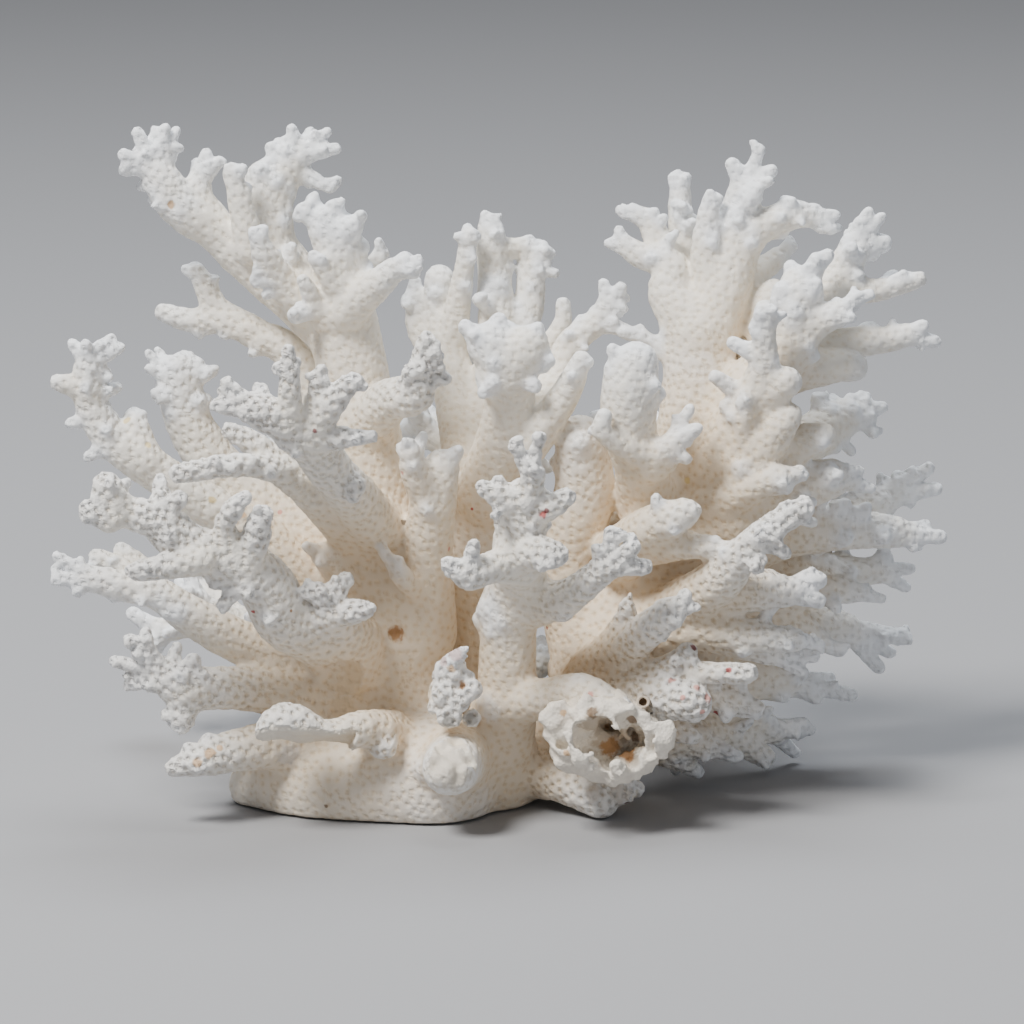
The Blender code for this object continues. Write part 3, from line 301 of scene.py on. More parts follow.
# Back crown
# The pale crown behind the middle, with two smooth round knobs and a broad palm of fingers.
back_crown = {
    "back_crown_left": ([
        [(96, 101, -8, 6), (92, 84, -16, 4.6), (90, 72, -22, 4), (88, 62, -25, 3), (88, 53, -25, 3.2)],
        [(90, 74, -24, 3.6), (84, 66, -26, 2.6), (83, 58, -27, 2.2)],
        [(90, 70, -22, 3.2), (92.5, 56, -20, 2.2), (94, 45.6, -19, 1.4)],
    ], [(83, 55, -27, 1.6), (87, 58.6, -21, 2), (93.6, 57.4, -17, 1.2), (90.6, 47, -18, 1.1),
        (95, 50.6, -18, 1.1), (80.6, 60, -25, 1.2)]),
    "back_crown_right": ([
        [(96, 100, -8, 6), (98, 82, -16, 4.8), (99.5, 70, -20, 4.2), (99, 58, -24, 3.4),
         (98, 49, -25, 2.8), (97.6, 45, -25, 2.2)],
        [(98, 50, -25, 2.4), (103, 49.5, -26, 2), (106, 51, -27, 2.6), (106, 60, -25, 3),
         (104, 68, -22, 3.2)],
        [(105, 76, -14, 3), (112, 66, -14, 2), (113, 59.4, -14, 1.4)],
    ], [(96.8, 42, -25, 1.5), (99.2, 43, -24, 1.1), (100.6, 45, -24, 1), (100.6, 47.4, -23, 1),
        (99.4, 57.4, -20, 3.4), (106.6, 47, -27, 1.4), (109.6, 48.6, -27, 1.4), (111.2, 50.6, -26, 1.2),
        (110.4, 52.4, -25, 1.2), (112, 55, -25, 1.2), (95, 59.4, -16, 1.4)]),
    "crown_palm": ([
        [(97, 99, 0, 6), (101, 87, 5, 5.4), (102, 79, 8, 5), (101, 73, 10, 5.4), (98, 69, 11, 4.5)],
        [(101, 75, 10, 5), (105, 70, 11, 4.6), (107, 67, 11, 3.4)],
        [(106, 89, 8, 3.8), (113, 79, 10, 3), (117, 70.4, 12, 1.8)],
        [(108, 82, -2, 4.4), (112, 76, -6, 4), (114, 69, -8, 3), (120, 64, -8, 2.4), (122, 60, -8, 2.2)],
    ], [(92, 64.4, 12, 1.8), (100, 62.4, 10, 2), (108, 64.6, 12, 1.8), (94, 66.5, 15, 1.6),
        (96, 79, 16, 1.6), (98, 77, 17, 1.6), (108, 78, 15, 1.8), (120.6, 55.6, -8, 1.4),
        (125, 56.6, -7, 1.6), (125.6, 62, -6, 1.3), (111, 72.6, 13, 1.5), (125.4, 66, -6, 1.4)]),
    "knob_plate": ([
        [(130, 101, 6, 6.5), (128, 94, 12, 5), (126, 86, 15, 5.2), (126, 78, 16, 5.6), (127, 73, 16, 4.6)],
        [(132, 92, 16, 3.6), (124, 89, 20, 2.4), (120.5, 86, 22, 1.8), (121, 81.6, 22, 1.6)],
        [(130, 93, 16, 3.6), (134.5, 88.5, 19, 2.6)],
    ], [(121.6, 69, 17, 1.6), (127, 69.4, 17, 2.2), (131, 73, 15, 2), (138.6, 80.8, 16, 1.3),
        (140.4, 85, 18, 1.6), (138.4, 92.4, 19, 1.4)]),
}
grow(back_crown, 0.1)


# Right crown
# The tall right-hand side: smooth fresh plates and arms that end in blades and fingers.
right_crown = {
    "right_crown_left": ([
        [(140, 67, -5, 6), (134, 59, -8, 4.4), (134, 53.5, -10, 3.4), (128, 51, -11, 2.6),
         (124, 48.5, -12, 2.2)],
        [(134.4, 54, -12, 3.6), (130, 44.6, -15, 2.4), (127, 42.5, -15, 2)],
        [(135, 58, -10, 4), (136.4, 50, -16, 3), (136, 42, -18, 2.4), (136, 38, -18, 2.2)],
    ], [(123.4, 45, -12, 1.3), (120.6, 48.6, -12, 1.3), (126.2, 40.6, -15, 1.3), (124, 42.8, -15, 1.1),
        (131.2, 41.6, -13, 1.3), (134.4, 34.4, -18, 1.5), (137.6, 34.4, -18, 1.3), (136.5, 41, -12, 1.2),
        (133.4, 43, -12, 1.1), (139, 44, -12, 1.2), (134.6, 47, -9, 1.1), (130, 51.4, -7, 1.3)]),
    "right_crown_top": ([
        [(141, 67, -6, 6.4), (144.5, 58, -8, 5), (146, 50, -12, 4.4), (148, 43, -14, 4),
         (149, 36, -14, 3.4)],
        [(143, 60, -8, 4.2), (141, 50, -9, 2.8), (141.6, 42, -10, 2.2)],
    ], [(145.8, 31.6, -14, 1.9), (152.4, 29, -14, 1.4), (155.4, 33.4, -13, 1.7), (152, 38, -9, 1.3),
        (142.2, 37.8, -10, 1.5), (144.4, 39, -10, 1.1), (144, 44.4, -18, 1.7), (154.6, 36, -9, 1.3),
        (150, 40.6, -8, 1.2), (147.6, 44, -8, 1.2), (143, 49, -6, 1.1)]),
    "right_crown_arm": ([
        [(145, 58, -10, 5), (148, 50, -12, 4.2), (152, 45.5, -12, 3.2), (158, 43, -13, 3),
         (163, 43, -14, 2.6)],
        [(148, 57, -14, 3), (155, 52, -20, 2.2), (158, 49, -21, 1.4)],
    ], [(163, 40.6, -14, 1.4), (168.2, 43, -14, 1.3), (167, 46.4, -13, 1.6), (156.8, 39.4, -12, 1.2),
        (158, 47, -21, 1.2), (159.4, 49.6, -20, 1.1), (157, 52.4, -19, 1.1), (160, 41.4, -13, 1.1),
        (164.6, 46.6, -13, 1.1), (150.6, 48.8, -7, 1.3)]),
    "right_plate": ([
        [(141, 88, -2, 7), (150, 78, 2, 6), (157, 70, 2, 5.4), (159.5, 60, 2, 5), (162.5, 54, 1, 3.6)],
        [(157, 69, 2, 4.4), (163, 65, 4, 3), (169, 62, 5, 2.6)],
        [(142, 82, -8, 5.4), (148.6, 71.6, -9.4, 4.8), (153.4, 62, -10.4, 4.4), (155.8, 56, -11, 3)],
    ], [(163.6, 50.4, 1, 1.3), (166.6, 50, 1, 1.4), (164, 57, 6, 1.6), (172.4, 58.4, 4, 1.4),
        (174.6, 58.2, 3, 1.3), (161, 53.4, 4, 1.3), (158, 64, 7, 1.4)]),
    "right_antler": ([
        [(158, 70, -3, 4.6), (163, 62, -6, 4), (168, 55, -9, 3.8), (172, 48, -10, 3)],
        [(167, 58, -8, 3.6), (176, 58, -8, 2.2), (185.4, 55.4, -8, 1.6)],
    ], [(174, 41.4, -10, 1.5), (177, 42.6, -10, 1.3), (178.4, 48.4, -11, 2.4), (168.6, 47.6, -8, 1.4),
        (179, 55, -18, 2), (171.6, 43.4, -9, 1.3), (175.6, 51.8, -10, 1.2), (181, 54.4, -8, 1.1)]),
    "right_long_arm": ([
        [(156, 75, -3, 4.8), (168, 69, -8, 3.4), (178, 68, -9, 2.4), (183, 66.5, -9, 2.2)],
        [(156, 75, 0, 4.4), (167, 73, -2, 3.6), (173.5, 73.4, -3, 3.2)],
    ], [(185.6, 64.4, -8, 1.6), (188.2, 68.6, -9, 1.5), (174, 65, -13, 3)]),
    "right_shoulder": ([
        [(142, 96, 2, 7), (147, 86, 7, 5.4), (152, 76, 11, 3.4), (153, 69, 13, 2.4), (153, 60, 14, 1.8)],
        [(150, 82, 8, 4.2), (156, 77, 12, 3.4), (160, 75, 13, 3)],
        [(146, 96, 8, 3.4), (149, 84, 13, 2), (149.2, 78, 14, 1.5)],
        [(146, 100, 6, 6), (152, 90, 10, 5), (157, 84, 12, 3), (160, 81.6, 12, 1.6)],
        [(150, 99, 4, 5), (158, 90, 6, 4), (164, 87.5, 6, 3), (166.6, 89, 6, 2)],
    ], [(157.4, 62.6, 12, 1.1), (150, 65, 14, 1.6), (144, 81, 12, 1.8), (148, 94, 15, 2.4),
        (145.4, 68, 12, 1.7), (142, 74.6, 12, 1.7), (147.4, 81, 15, 1.5), (155.6, 72.6, 14, 1.5)]),
    "right_back_plate": ([
        [(146, 96, -8, 6), (158, 90, -16, 5), (167, 84.5, -22, 4.4), (172, 82, -24, 3.6)],
    ], [(163, 78.4, -22, 1.8), (166, 78.8, -25, 1.5), (169.8, 78.6, -24, 1.4), (173, 79.4, -25, 1.2),
        (177.6, 81.2, -26, 1.6), (175.4, 87.4, -23, 1.3), (171, 91, -21, 1.3)]),
}
grow(right_crown, 0.1)


# Right arms
# Arms that reach out to the right below the crown, smooth near the trunk and pitted at the ends.
right_arms = {
    "right_arm_upper": ([
        [(136, 106, 4, 7), (146, 104, 6, 6), (156, 99, 4, 5), (165, 96, 2, 4.2), (170, 96, 0, 3.2)],
        [(142, 101, 8, 4.4), (154, 96, 14, 2.8), (160, 94.8, 14, 2)],
    ], [(172.6, 93.4, 0, 1.4), (175, 98, -1, 1.4), (164, 93.4, 2, 1.4), (169, 93, 1, 1.4),
        (161.6, 95.4, 14, 1.7), (153.4, 93.4, 14, 1.4)]),
    "right_blades": ([
        [(140, 112, -6, 6), (152, 110, -12, 5), (162, 107, -16, 4.4), (172, 103, -18, 4),
         (179, 99, -19, 3.4)],
    ], [(183.2, 93.2, -18, 1.4), (186.8, 92.8, -18, 1.6), (188.4, 97.4, -18, 1.5),
        (180.8, 94.8, -22, 1.5), (176.6, 96.4, -23, 1.5)]),
    "right_arm_middle": ([
        [(138, 114, 0, 6.4), (150, 109, -2, 5.4), (160, 106.6, -4, 4.4), (172, 106, -8, 3.8),
         (182, 106.6, -10, 3.2)],
    ], [(189.4, 107.6, -11, 1.8), (183, 110.4, -8, 1.3), (186, 104.6, -13, 1.5), (171.6, 101.4, -4, 1.5),
        (164, 102.6, -8, 1.4)]),
    "right_arm_lower": ([
        [(136, 122, -4, 6.6), (148, 118, -8, 5), (160, 115, -12, 4), (172, 114.4, -15, 3),
         (178, 114.2, -16, 2.4)],
        [(150, 120, -6, 4.6), (164, 118, -7, 3.2), (172, 118.4, -8, 2.4)],
    ], [(183.2, 113.6, -16, 1.4), (176.6, 111.6, -15, 1.4), (182, 118, -19, 1.4), (177.4, 120, -8, 1.3),
        (174, 117, -9, 1.2)]),
    "right_low_antler": ([
        [(138, 128, -8, 6.4), (150, 126, -14, 5), (162, 125, -18, 4.4), (172, 126, -21, 3.4)],
        [(148, 125, -8, 4), (158, 124, -8, 3), (165, 129, -10, 2.4)],
    ], [(182.2, 127.6, -23, 1.8), (179, 131, -25, 1.5), (176.6, 134.4, -22, 1.6), (169, 130.6, -10, 1.6)]),
    "right_low_hand": ([
        [(134, 136, -6, 6.6), (146, 135, -12, 5), (155, 136, -16, 4.2), (160, 137, -18, 3.4)],
        [(142, 139, -8, 4.4), (150, 144, -12, 3.6), (156, 147, -15, 2.8)],
    ], [(171.6, 139.2, -20, 1.6), (167, 135.4, -22, 1.6), (164.4, 140.4, -16, 1.6),
        (162, 144.4, -16, 1.6), (159.6, 151.2, -20, 1.5), (163, 146, -17, 1.5)]),
    "double_finger": ([
        [(124, 111, 10, 5.6), (130, 106, 19, 4.6), (136, 103, 25, 3.2), (140, 101.6, 27, 1.9)],
        [(128, 109, 14, 4.4), (138, 109, 22, 2.8), (146.8, 110.4, 25, 1.7)],
    ], []),
}
grow(right_arms, 0.3)


# Low right limbs
# The limbs under the right arms, in their shade, rough and pitted at their ends.
low_right = {
    "right_front_arm": ([
        [(132, 122, 8, 6), (142, 119, 14, 5), (150, 118, 16, 4.4), (159, 118.4, 15, 3.4)],
    ], [(165.2, 120.6, 16, 1.8), (165.4, 115.4, 14, 2), (163, 113.6, 14, 1.3)]),
    "low_front_arm": ([
        [(124, 128, 8, 6.4), (132, 126, 12, 5.4), (142, 126, 16, 4), (152, 127.6, 18, 3),
         (160, 128, 18, 2.2)],
        [(144, 127, 15, 3.8), (156, 131, 14, 2.8)],
    ], [(162.6, 128, 18, 1.5), (164.8, 129, 16, 1.3), (161, 134.6, 14, 1.5), (164, 131.4, 12, 1.6)]),
    "low_right_limb": ([
        [(120, 142, 4, 7), (132, 138, 8, 5), (144, 139, 8, 3.6), (151, 142, 8, 2.6)],
        [(118, 147, 2, 6), (128, 147, 3, 5), (138, 148, 1, 3.6), (144, 150, 0, 2.6)],
        [(132, 145, 0, 4.4), (144, 147, -6, 3.2), (154.6, 152, -12, 2)],
        [(126, 146, 8, 3.6), (134, 146, 14, 2.4), (140.4, 147.6, 15, 1.6)],
        [(128, 148, 2, 4), (138, 153, -1, 2.2)],
    ], [(151.6, 144, 8, 1.6), (148.6, 151.6, -2, 1.6), (147, 150.6, 3, 1.4), (140.4, 155, -3, 1.6)]),
}
grow(low_right, 0.5)


# Front antlers
# The oldest branches, in front: greyed, their corallites open and deep with raised walls.
front_antlers = {
    "rough_right_antler": ([
        [(132, 124, 10, 5.4), (144, 116, 22, 4.4), (149, 110, 27, 3), (155, 105, 29, 2.6),
         (160, 102, 29, 2.4)],
    ], [(162.6, 101.4, 28, 1.9), (163, 104.8, 26, 1.2), (155.4, 107, 33, 2.2), (158, 111.4, 30, 1.5),
        (152.4, 114.4, 31, 1.4)]),
    "rough_pair": ([
        [(120, 134, 14, 5.6), (126, 129, 22, 4), (132, 124, 28, 3.2), (136, 121, 30, 2.8)],
        [(122, 130, 16, 3.4), (125, 124, 21, 2.2), (125.6, 120.6, 23, 1.6)],
    ], [(137.6, 118, 30, 1.5), (140, 121.6, 30, 1.3), (135, 125.4, 33, 2), (131.4, 120.4, 29, 1.2)]),
    "speckled_arm": ([
        [(118, 137, 14, 5.8), (125, 138, 22, 4.8), (131, 139.6, 27, 4.2), (137, 140, 30, 4),
         (142, 142, 31, 3.6)],
        [(124, 136, 19, 3.8), (130, 134.6, 23, 2.8), (135, 133, 25, 2.6), (138.6, 129.4, 27, 1.8)],
        [(134, 134, 24, 2.6), (141, 134.6, 28, 2.2), (147, 134.6, 30, 2), (151.4, 134.4, 31, 1.8)],
    ], [(134.4, 135.6, 30, 1.4)]),
    "front_right_antler": ([
        [(105, 121, 25, 5), (112, 120, 30, 3.8), (117, 117, 34, 3), (121, 113.5, 37, 2.8),
         (123.5, 112.4, 38, 2.6)],
    ], [(122.2, 105.2, 38, 1.4), (119, 109, 39, 1.3), (127.6, 108.8, 39, 1.5), (130.4, 113.8, 38, 1.4),
        (113.6, 124, 32, 2)]),
    "front_middle_antler": ([
        [(104, 117, 26, 5.4), (103.6, 110, 33, 5), (104.6, 104, 38, 4.6), (105, 100, 40, 4.2)],
        [(105, 101, 40, 3.4), (106.6, 95.5, 43, 2.2), (105.4, 92, 44, 1.8)],
        [(106, 103, 40, 3), (111, 101, 42, 2.2), (114.6, 98.6, 43, 1.7)],
        [(104, 101, 40, 3.6), (99.5, 99, 42, 2.4), (95.4, 97, 43, 1.4)],
        [(103.4, 113, 34, 4.6), (99, 113.4, 40, 3.2), (94, 115, 44, 2.8), (90.5, 113.6, 45, 2.4)],
        [(104, 110, 38, 4.4), (108.6, 110.6, 43, 3.2), (113.4, 111.4, 45, 2.4)],
    ], [(102.2, 88.4, 45, 1.1), (108.4, 86.4, 45, 1.3), (88.8, 112, 46, 2), (95, 108, 46, 1.4),
        (98.6, 104, 45, 1)]),
    "front_left_antler": ([
        [(76, 107, 10, 6), (71, 100, 21, 5), (66, 94, 31, 4.4), (62, 88, 38, 4.4), (58, 85, 41, 4),
         (53, 82.6, 43, 3.4), (48, 81, 44, 2.8)],
        [(58, 84, 43, 2.6), (58, 77, 45, 2), (57.6, 69, 46, 1.2)],
        [(62, 87, 40, 3.4), (66, 81, 43, 2.8), (70, 76.6, 45, 2.2)],
        [(63, 88, 40, 3), (70, 87.4, 42, 2)],
        [(68, 96, 30, 3), (72.6, 98, 33, 2.4)],
        [(62, 85, 41, 2.4), (64.4, 73, 44, 1.2)],
    ], [(44.4, 75.6, 44, 1.5), (42, 81, 45, 1.7), (50.6, 78.6, 40, 1.2), (52.4, 77, 39, 1.2),
        (54.4, 73.6, 46, 1.4), (71.6, 75.2, 45, 2), (75.6, 87.4, 42, 1.3)]),
    "rough_fan": ([
        [(73, 86, 6, 5.5), (78, 80, 14, 4.2), (83, 79, 19, 3.6), (84, 74, 21, 2.2), (85.6, 66.4, 22, 1.6)],
    ], [(87.4, 71, 23, 1.1), (89, 73, 22, 1.6), (90.4, 75.6, 20, 1.3), (81, 74, 24, 1.7)]),
}
grow(front_antlers, 1.0)


# Left side
# The left antlers: an old rail of honeycombed skeleton in front, and paler hands behind it.
pale_left = {
    "left_antler": ([
        [(66, 118, 4, 5.4), (50, 106, 6, 4.4), (38, 99, 8, 4.2), (31, 94, 9, 4), (26, 91, 10, 3.8),
         (21.5, 87, 10, 3.4), (18, 81, 10, 3), (17.6, 75, 10, 3), (18, 71, 10, 3)],
        [(17.6, 78, 10, 2.4), (13.5, 77, 11, 2), (10, 76, 11, 1.7)],
        [(29, 92, 10, 3.4), (27, 86, 8, 3), (26.6, 83.4, 7, 2.4)],
    ], [(13.6, 68, 10, 1.5), (23, 67, 9, 1.6), (25, 69, 10, 1.3), (17, 68, 13, 1.3),
        (22.4, 74.4, 9, 1.2), (24.4, 77, 8, 1.6), (22.4, 81, 9, 1.3), (13, 85, 11, 1.4), (20, 91, 12, 2),
        (26.4, 81.4, 7, 1.5), (29.4, 82.4, 7, 1.3), (29.2, 85.4, 9, 1.2), (16.6, 92, 12, 1.4),
        (31, 90.4, 11, 1.3)]),
    "left_hand": ([
        [(70, 110, 0, 6), (56, 103, -2, 5.2), (46, 96, -3, 5.2), (41, 90, -3, 5), (37.6, 84, -3, 4.6),
         (36, 78, -3, 4.4), (35.5, 75, -3, 4)],
    ], [(29, 70, -2, 1.1), (31.2, 69.4, -5, 1.2), (29, 73.4, 0, 1.3), (30, 78.6, 1, 1.3),
        (35, 71.6, -4, 1.3), (38.4, 70.4, -5, 1.6), (40.6, 72, -3, 1.3), (43, 74, -2, 1.3),
        (33.4, 83, 1, 1.3), (40.6, 80, 1, 1.2)]),
    "left_upper_arm": ([
        [(73, 92, -2, 6.4), (66, 82, -6, 4.6), (58, 70.4, -9, 3.6), (52.4, 67.4, -10, 3.2),
         (46, 64.4, -11, 2.8), (38, 64, -12, 2.4), (31, 62, -13, 1.9)],
        [(50, 66, -10, 2.8), (43.4, 61.6, -12, 2.5), (41, 57, -13, 2.3), (39, 54, -13, 1.9)],
    ], [(36, 53.6, -13, 1.3), (39, 53, -14, 1.6)]),
    "pale_left_antler": ([
        [(68, 136, 8, 5.4), (58, 131, 12, 4.6), (49.4, 129, 14, 4.4), (38.6, 123.4, 17, 4),
         (31.6, 118.8, 19, 3.2), (24, 117, 20, 3), (16.2, 115.2, 21, 2.6)],
        [(30, 117, 16, 2.4), (23.8, 113.2, 14, 2), (17.8, 110.6, 13, 1.6)],
        [(31, 118, 14, 2.6), (28, 113, 12, 2), (23, 109, 11, 1.5)],
    ], [(10.4, 110.6, 21, 1.4), (10, 116.2, 22, 1.3), (15.2, 119.2, 22, 1.4), (32, 120.5, 22, 1.6),
        (36, 123, 22, 2)]),
}
rough_left = {
    "left_rail": ([
        [(73, 108, 8, 6), (64, 100, 20, 4), (56, 94.4, 29, 2.6), (48, 93, 34, 2.2), (40, 94, 37, 2),
         (34, 95, 38, 1.7)],
        [(59, 96, 26, 3), (51, 89, 28, 2.4), (44.4, 85.4, 29, 1.6)],
    ], []),
    "rough_left_antler": ([
        [(70, 132, 14, 7), (64, 127, 22, 6.4), (57, 123.4, 28, 6), (52, 115.6, 32, 5.4),
         (44, 111.6, 35, 4.8), (36.6, 108.6, 37, 4.2), (31.4, 104.4, 39, 3.6), (25, 102, 40, 3.2)],
        [(24, 102, 40, 3.4), (21.6, 98, 41, 3), (20.8, 94.4, 41, 2.2)],
        [(22, 104, 42, 2.6), (17.5, 102, 43, 2)],
        [(33, 104, 38, 2.6), (32, 98, 36, 2)],
        [(40, 112, 40, 3), (34, 113.4, 42, 2.4), (27, 114.2, 44, 2)],
        [(46, 110, 36, 3), (45, 105, 38, 2), (47, 101, 40, 2)],
        [(50, 112, 36, 3), (52, 104, 39, 2.6)],
    ], [(16.6, 100, 43, 1.5), (17, 104.6, 44, 1.4), (25.8, 95.8, 38, 1.3), (32, 94.8, 35, 1.6),
        (37, 99, 40, 2), (25.4, 114, 44, 1.8), (50, 98.6, 40, 1.6), (53.6, 101.6, 40, 2.2),
        (43.8, 122.4, 38, 1.7), (49.4, 119.8, 39, 1.6), (53.6, 125, 37, 1.6)]),
    "rough_left_knobs": ([
        [(71, 128, 18, 5.4), (66, 123.4, 28, 4), (66, 119, 31, 3)],
        [(67, 123, 30, 3), (73, 121.8, 33, 2.2)],
    ], [(60, 117.8, 33, 1.6), (62.6, 116.8, 32, 1.6), (67.8, 115.2, 31, 1.5), (70.2, 114.6, 29, 1.8),
        (74.4, 121.8, 34, 2)]),
}
grow(pale_left, 0.35)
grow(rough_left, 1.0)


# Low front
# The low left antler and the chalky ledge over the foot, worn and stained tan in places.
low_front = {
    "low_left_antler": ([
        [(68, 141, 12, 7), (57, 138.6, 16, 5), (46.8, 137.6, 20, 4.2), (37.6, 137.6, 23, 4.4),
         (30.4, 133.6, 25, 3.6)],
        [(37, 139, 24, 4), (36.5, 144.6, 25, 2.6)],
    ], [(25.2, 127.2, 26, 1.6), (28.2, 127.2, 27, 1.6), (22, 132, 25, 1.4), (24.8, 137.6, 23, 1.4),
        (27, 136, 22, 1.3), (35.6, 128.4, 22, 1.4), (39.2, 131, 25, 2), (32, 143.2, 25, 1.4),
        (36, 146.4, 25, 2.2), (44.4, 135, 22, 1.6)]),
    "front_ledge": ([
        [(62, 148, 16, 6), (50, 149.6, 24, 4.4), (41.8, 151.4, 28, 3.6), (33, 154, 30, 1.6)],
        [(78, 147, 22, 5), (72.4, 145.8, 31, 3.6), (64.6, 147.8, 35, 3.6), (57, 144.6, 36, 4),
         (50.4, 149.8, 38, 1.4)],
        [(76, 147, 28, 4), (77.4, 151.4, 32, 2.6)],
    ], []),
    "broken_stub": ([
        [(102, 153, 8, 6.4), (111.6, 155.4, 17, 4.8), (118.6, 158.8, 22, 4.2), (122, 163, 25, 3.4)],
    ], [(128.8, 157.4, 20, 2)]),
    "barnacle_crust": ([[(89, 139, 30, 3.4), (91, 133, 32, 3)]], [(90.8, 130.4, 33, 1.6)]),
}
grow(low_front, 0.8)


# Limbs behind
# The side that the photo doesn't show: limbs that bend up as they grow out, fork, and end in fingers,
# by the same rule as in the solids. A limb is (start, middle of the branched end, seed), in millimetres.
far_limbs = {
    "far_left_low_limb": ((-6, 8, 20), (-36, 44, 30), 3),
    "far_left_limb": ((2, 5, 44), (-10, 40, 64), 5),
    "far_low_limb": ((4, 12, 16), (-4, 58, 22), 7),
    "far_middle_limb": ((22, 8, 48), (20, 48, 72), 11),
    "far_foot_limb": ((30, 12, 14), (25, 56, 9), 13),
    "far_right_low_limb": ((42, 8, 22), (52, 54, 26), 17),
    "far_right_high_limb": ((52, 6, 52), (66, 44, 70), 19),
    "far_right_limb": ((54, 8, 34), (82, 46, 42), 23),
}
FAR_AGE = 0.2
BEND = np.array([0.55, 0.55, 0.2])
STEM_POINTS = 6
STEM_THICK = 0.0054
STEM_TAPER = 0.0022
STEM_FORKS = ((2, 1, 0.5), (3, -1, 0.6), (4, 0.3, 1.2), (4, -0.8, -0.5))
FORK_AHEAD = 0.7
FORK_LENGTH = (0.012, 0.015)
FORK_MIDDLE = 0.6
FORK_ROOT_SHARE = np.array([1, 1, 1, 0.75])
FORK_THICK = 0.0028
FORK_END_THICK = 0.0024
FINGERS_PER_FORK = 4
FINGER_STRAY = 0.4
FINGER_SPREAD = 0.9
FINGER_AHEAD = (0.5, 1.0)
FINGER_LENGTH = (0.0050, 0.0072)
FINGER_ROOT = 0.0021
FINGER_THICK = (0.0013, 0.0016)


def grown_branches(start, end, seed):
    """The stem, forks and fingers of a limb on the hidden side. A fork is (stem point, lean, rise)."""
    draws = np.random.default_rng(seed)
    start, end = MILLIMETRE * np.array(start), MILLIMETRE * np.array(end)
    bend = start + (end - start) * BEND
    stem = []
    for share in np.linspace(0, 1, STEM_POINTS):
        point = (1 - share) ** 2 * start + 2 * share * (1 - share) * bend + share ** 2 * end
        stem.append(np.append(point, STEM_THICK - STEM_TAPER * share))
    out = (end - start) / np.linalg.norm(end - start)
    side = np.cross(out, [0, 0, 1])
    side = side / np.linalg.norm(side)
    lift = np.cross(side, out)
    forks = [stem]
    for place_on_stem, lean, rise in STEM_FORKS:
        heading = FORK_AHEAD * out + lean * side + rise * lift
        heading = heading / np.linalg.norm(heading)
        length = draws.uniform(*FORK_LENGTH)
        first = stem[place_on_stem]
        forks.append([first * FORK_ROOT_SHARE,
                      np.append(first[:3] + heading * length * FORK_MIDDLE, FORK_THICK),
                      np.append(first[:3] + heading * length, FORK_END_THICK)])
    fingers = []
    for fork in forks:
        tip, heading = fork[-1], fork[-1][:3] - fork[-2][:3]
        heading = heading / np.linalg.norm(heading)
        across = np.cross(heading, lift + 0.1 * side)
        across = across / np.linalg.norm(across)
        over = np.cross(across, heading)
        turn = draws.uniform(0, math.tau)
        for step in range(FINGERS_PER_FORK):
            angle = turn + step * math.tau / FINGERS_PER_FORK + draws.uniform(-FINGER_STRAY, FINGER_STRAY)
            spread = FINGER_SPREAD * (math.cos(angle) * across + math.sin(angle) * over)
            way = heading * draws.uniform(*FINGER_AHEAD) + spread
            reach = draws.uniform(*FINGER_LENGTH) * way / np.linalg.norm(way)
            thickness = draws.uniform(*FINGER_THICK)
            fingers.append([np.append(tip[:3], FINGER_ROOT), np.append(tip[:3] + reach, thickness)])
    return forks, fingers


for far_name, (start, end, seed) in far_limbs.items():
    forks, fingers = grown_branches(start, end, seed)
    limbs[far_name] = {"routes": forks, "fingers": fingers, "age": FAR_AGE}


# One living skin
# The skeleton grew as one piece, so all limbs share one skin: the distance to every branch is melted
# together at the forks on a fine grid, and the surface is drawn where that distance is nought.
CELL = 0.00058
BAND = 0.0052
FAR_AWAY = 0.005
MELT_SHARE = 0.45
LEAST_MELT = 0.0009
MOST_MELT = 0.0042
BLEND_REACH = 0.0007
CURVE_STEPS = 4
LEAST_OF_ROUTE = 0.8
names = list(limbs) + ["broken_crust"]
branches = [route for limb in limbs.values() for route in limb["routes"] + limb["fingers"]]
balls = np.array([point for route in branches for point in route])
corner = (balls[:, :3] - balls[:, 3:]).min(0) - 2 * BAND
cells = np.ceil(((balls[:, :3] + balls[:, 3:]).max(0) + 2 * BAND - corner) / CELL).astype(int)
skin = np.full(cells, FAR_AWAY, np.float32)
nearest = np.full(cells, FAR_AWAY, np.float32)
owner = np.zeros(cells, np.int16)
weight = np.full(cells, 1e-6, np.float32)
age_sum = np.zeros(cells, np.float32)
tip_sum = np.zeros(cells, np.float32)


def melt(a, b, width):
    blend = np.maximum(width - np.abs(a - b), 0) / width
    return np.minimum(a, b) - blend * blend * width / 4


def window(low, high):
    """The grid's cells between two points, and their places along each axis."""
    first = np.maximum(np.floor((low - corner) / CELL).astype(int), 0)
    last = np.minimum(np.ceil((high - corner) / CELL).astype(int) + 1, cells)
    part = tuple(slice(a, b) for a, b in zip(first, last))
    lines = [(corner[axis] + CELL * np.arange(first[axis], last[axis])).astype(np.float32)
             for axis in range(3)]
    return part, np.ix_(*lines)


def curved(route):
    """The route as a smooth curve through its points, thickness included."""
    if len(route) < 3:
        return np.array(route)
    ends = [2 * route[0] - route[1]] + list(route) + [2 * route[-1] - route[-2]]
    points = [route[0]]
    for before, a, b, after in zip(ends, ends[1:], ends[2:], ends[3:]):
        for step in range(1, CURVE_STEPS + 1):
            t = step / CURVE_STEPS
            points.append(0.5 * (2 * a + (b - before) * t + (2 * before - 5 * a + 4 * b - after) * t ** 2
                                 + (3 * a - before - 3 * b + after) * t ** 3))
    points = np.array(points)
    points[:, 3] = np.maximum(points[:, 3], LEAST_OF_ROUTE * min(point[3] for point in route))
    return points


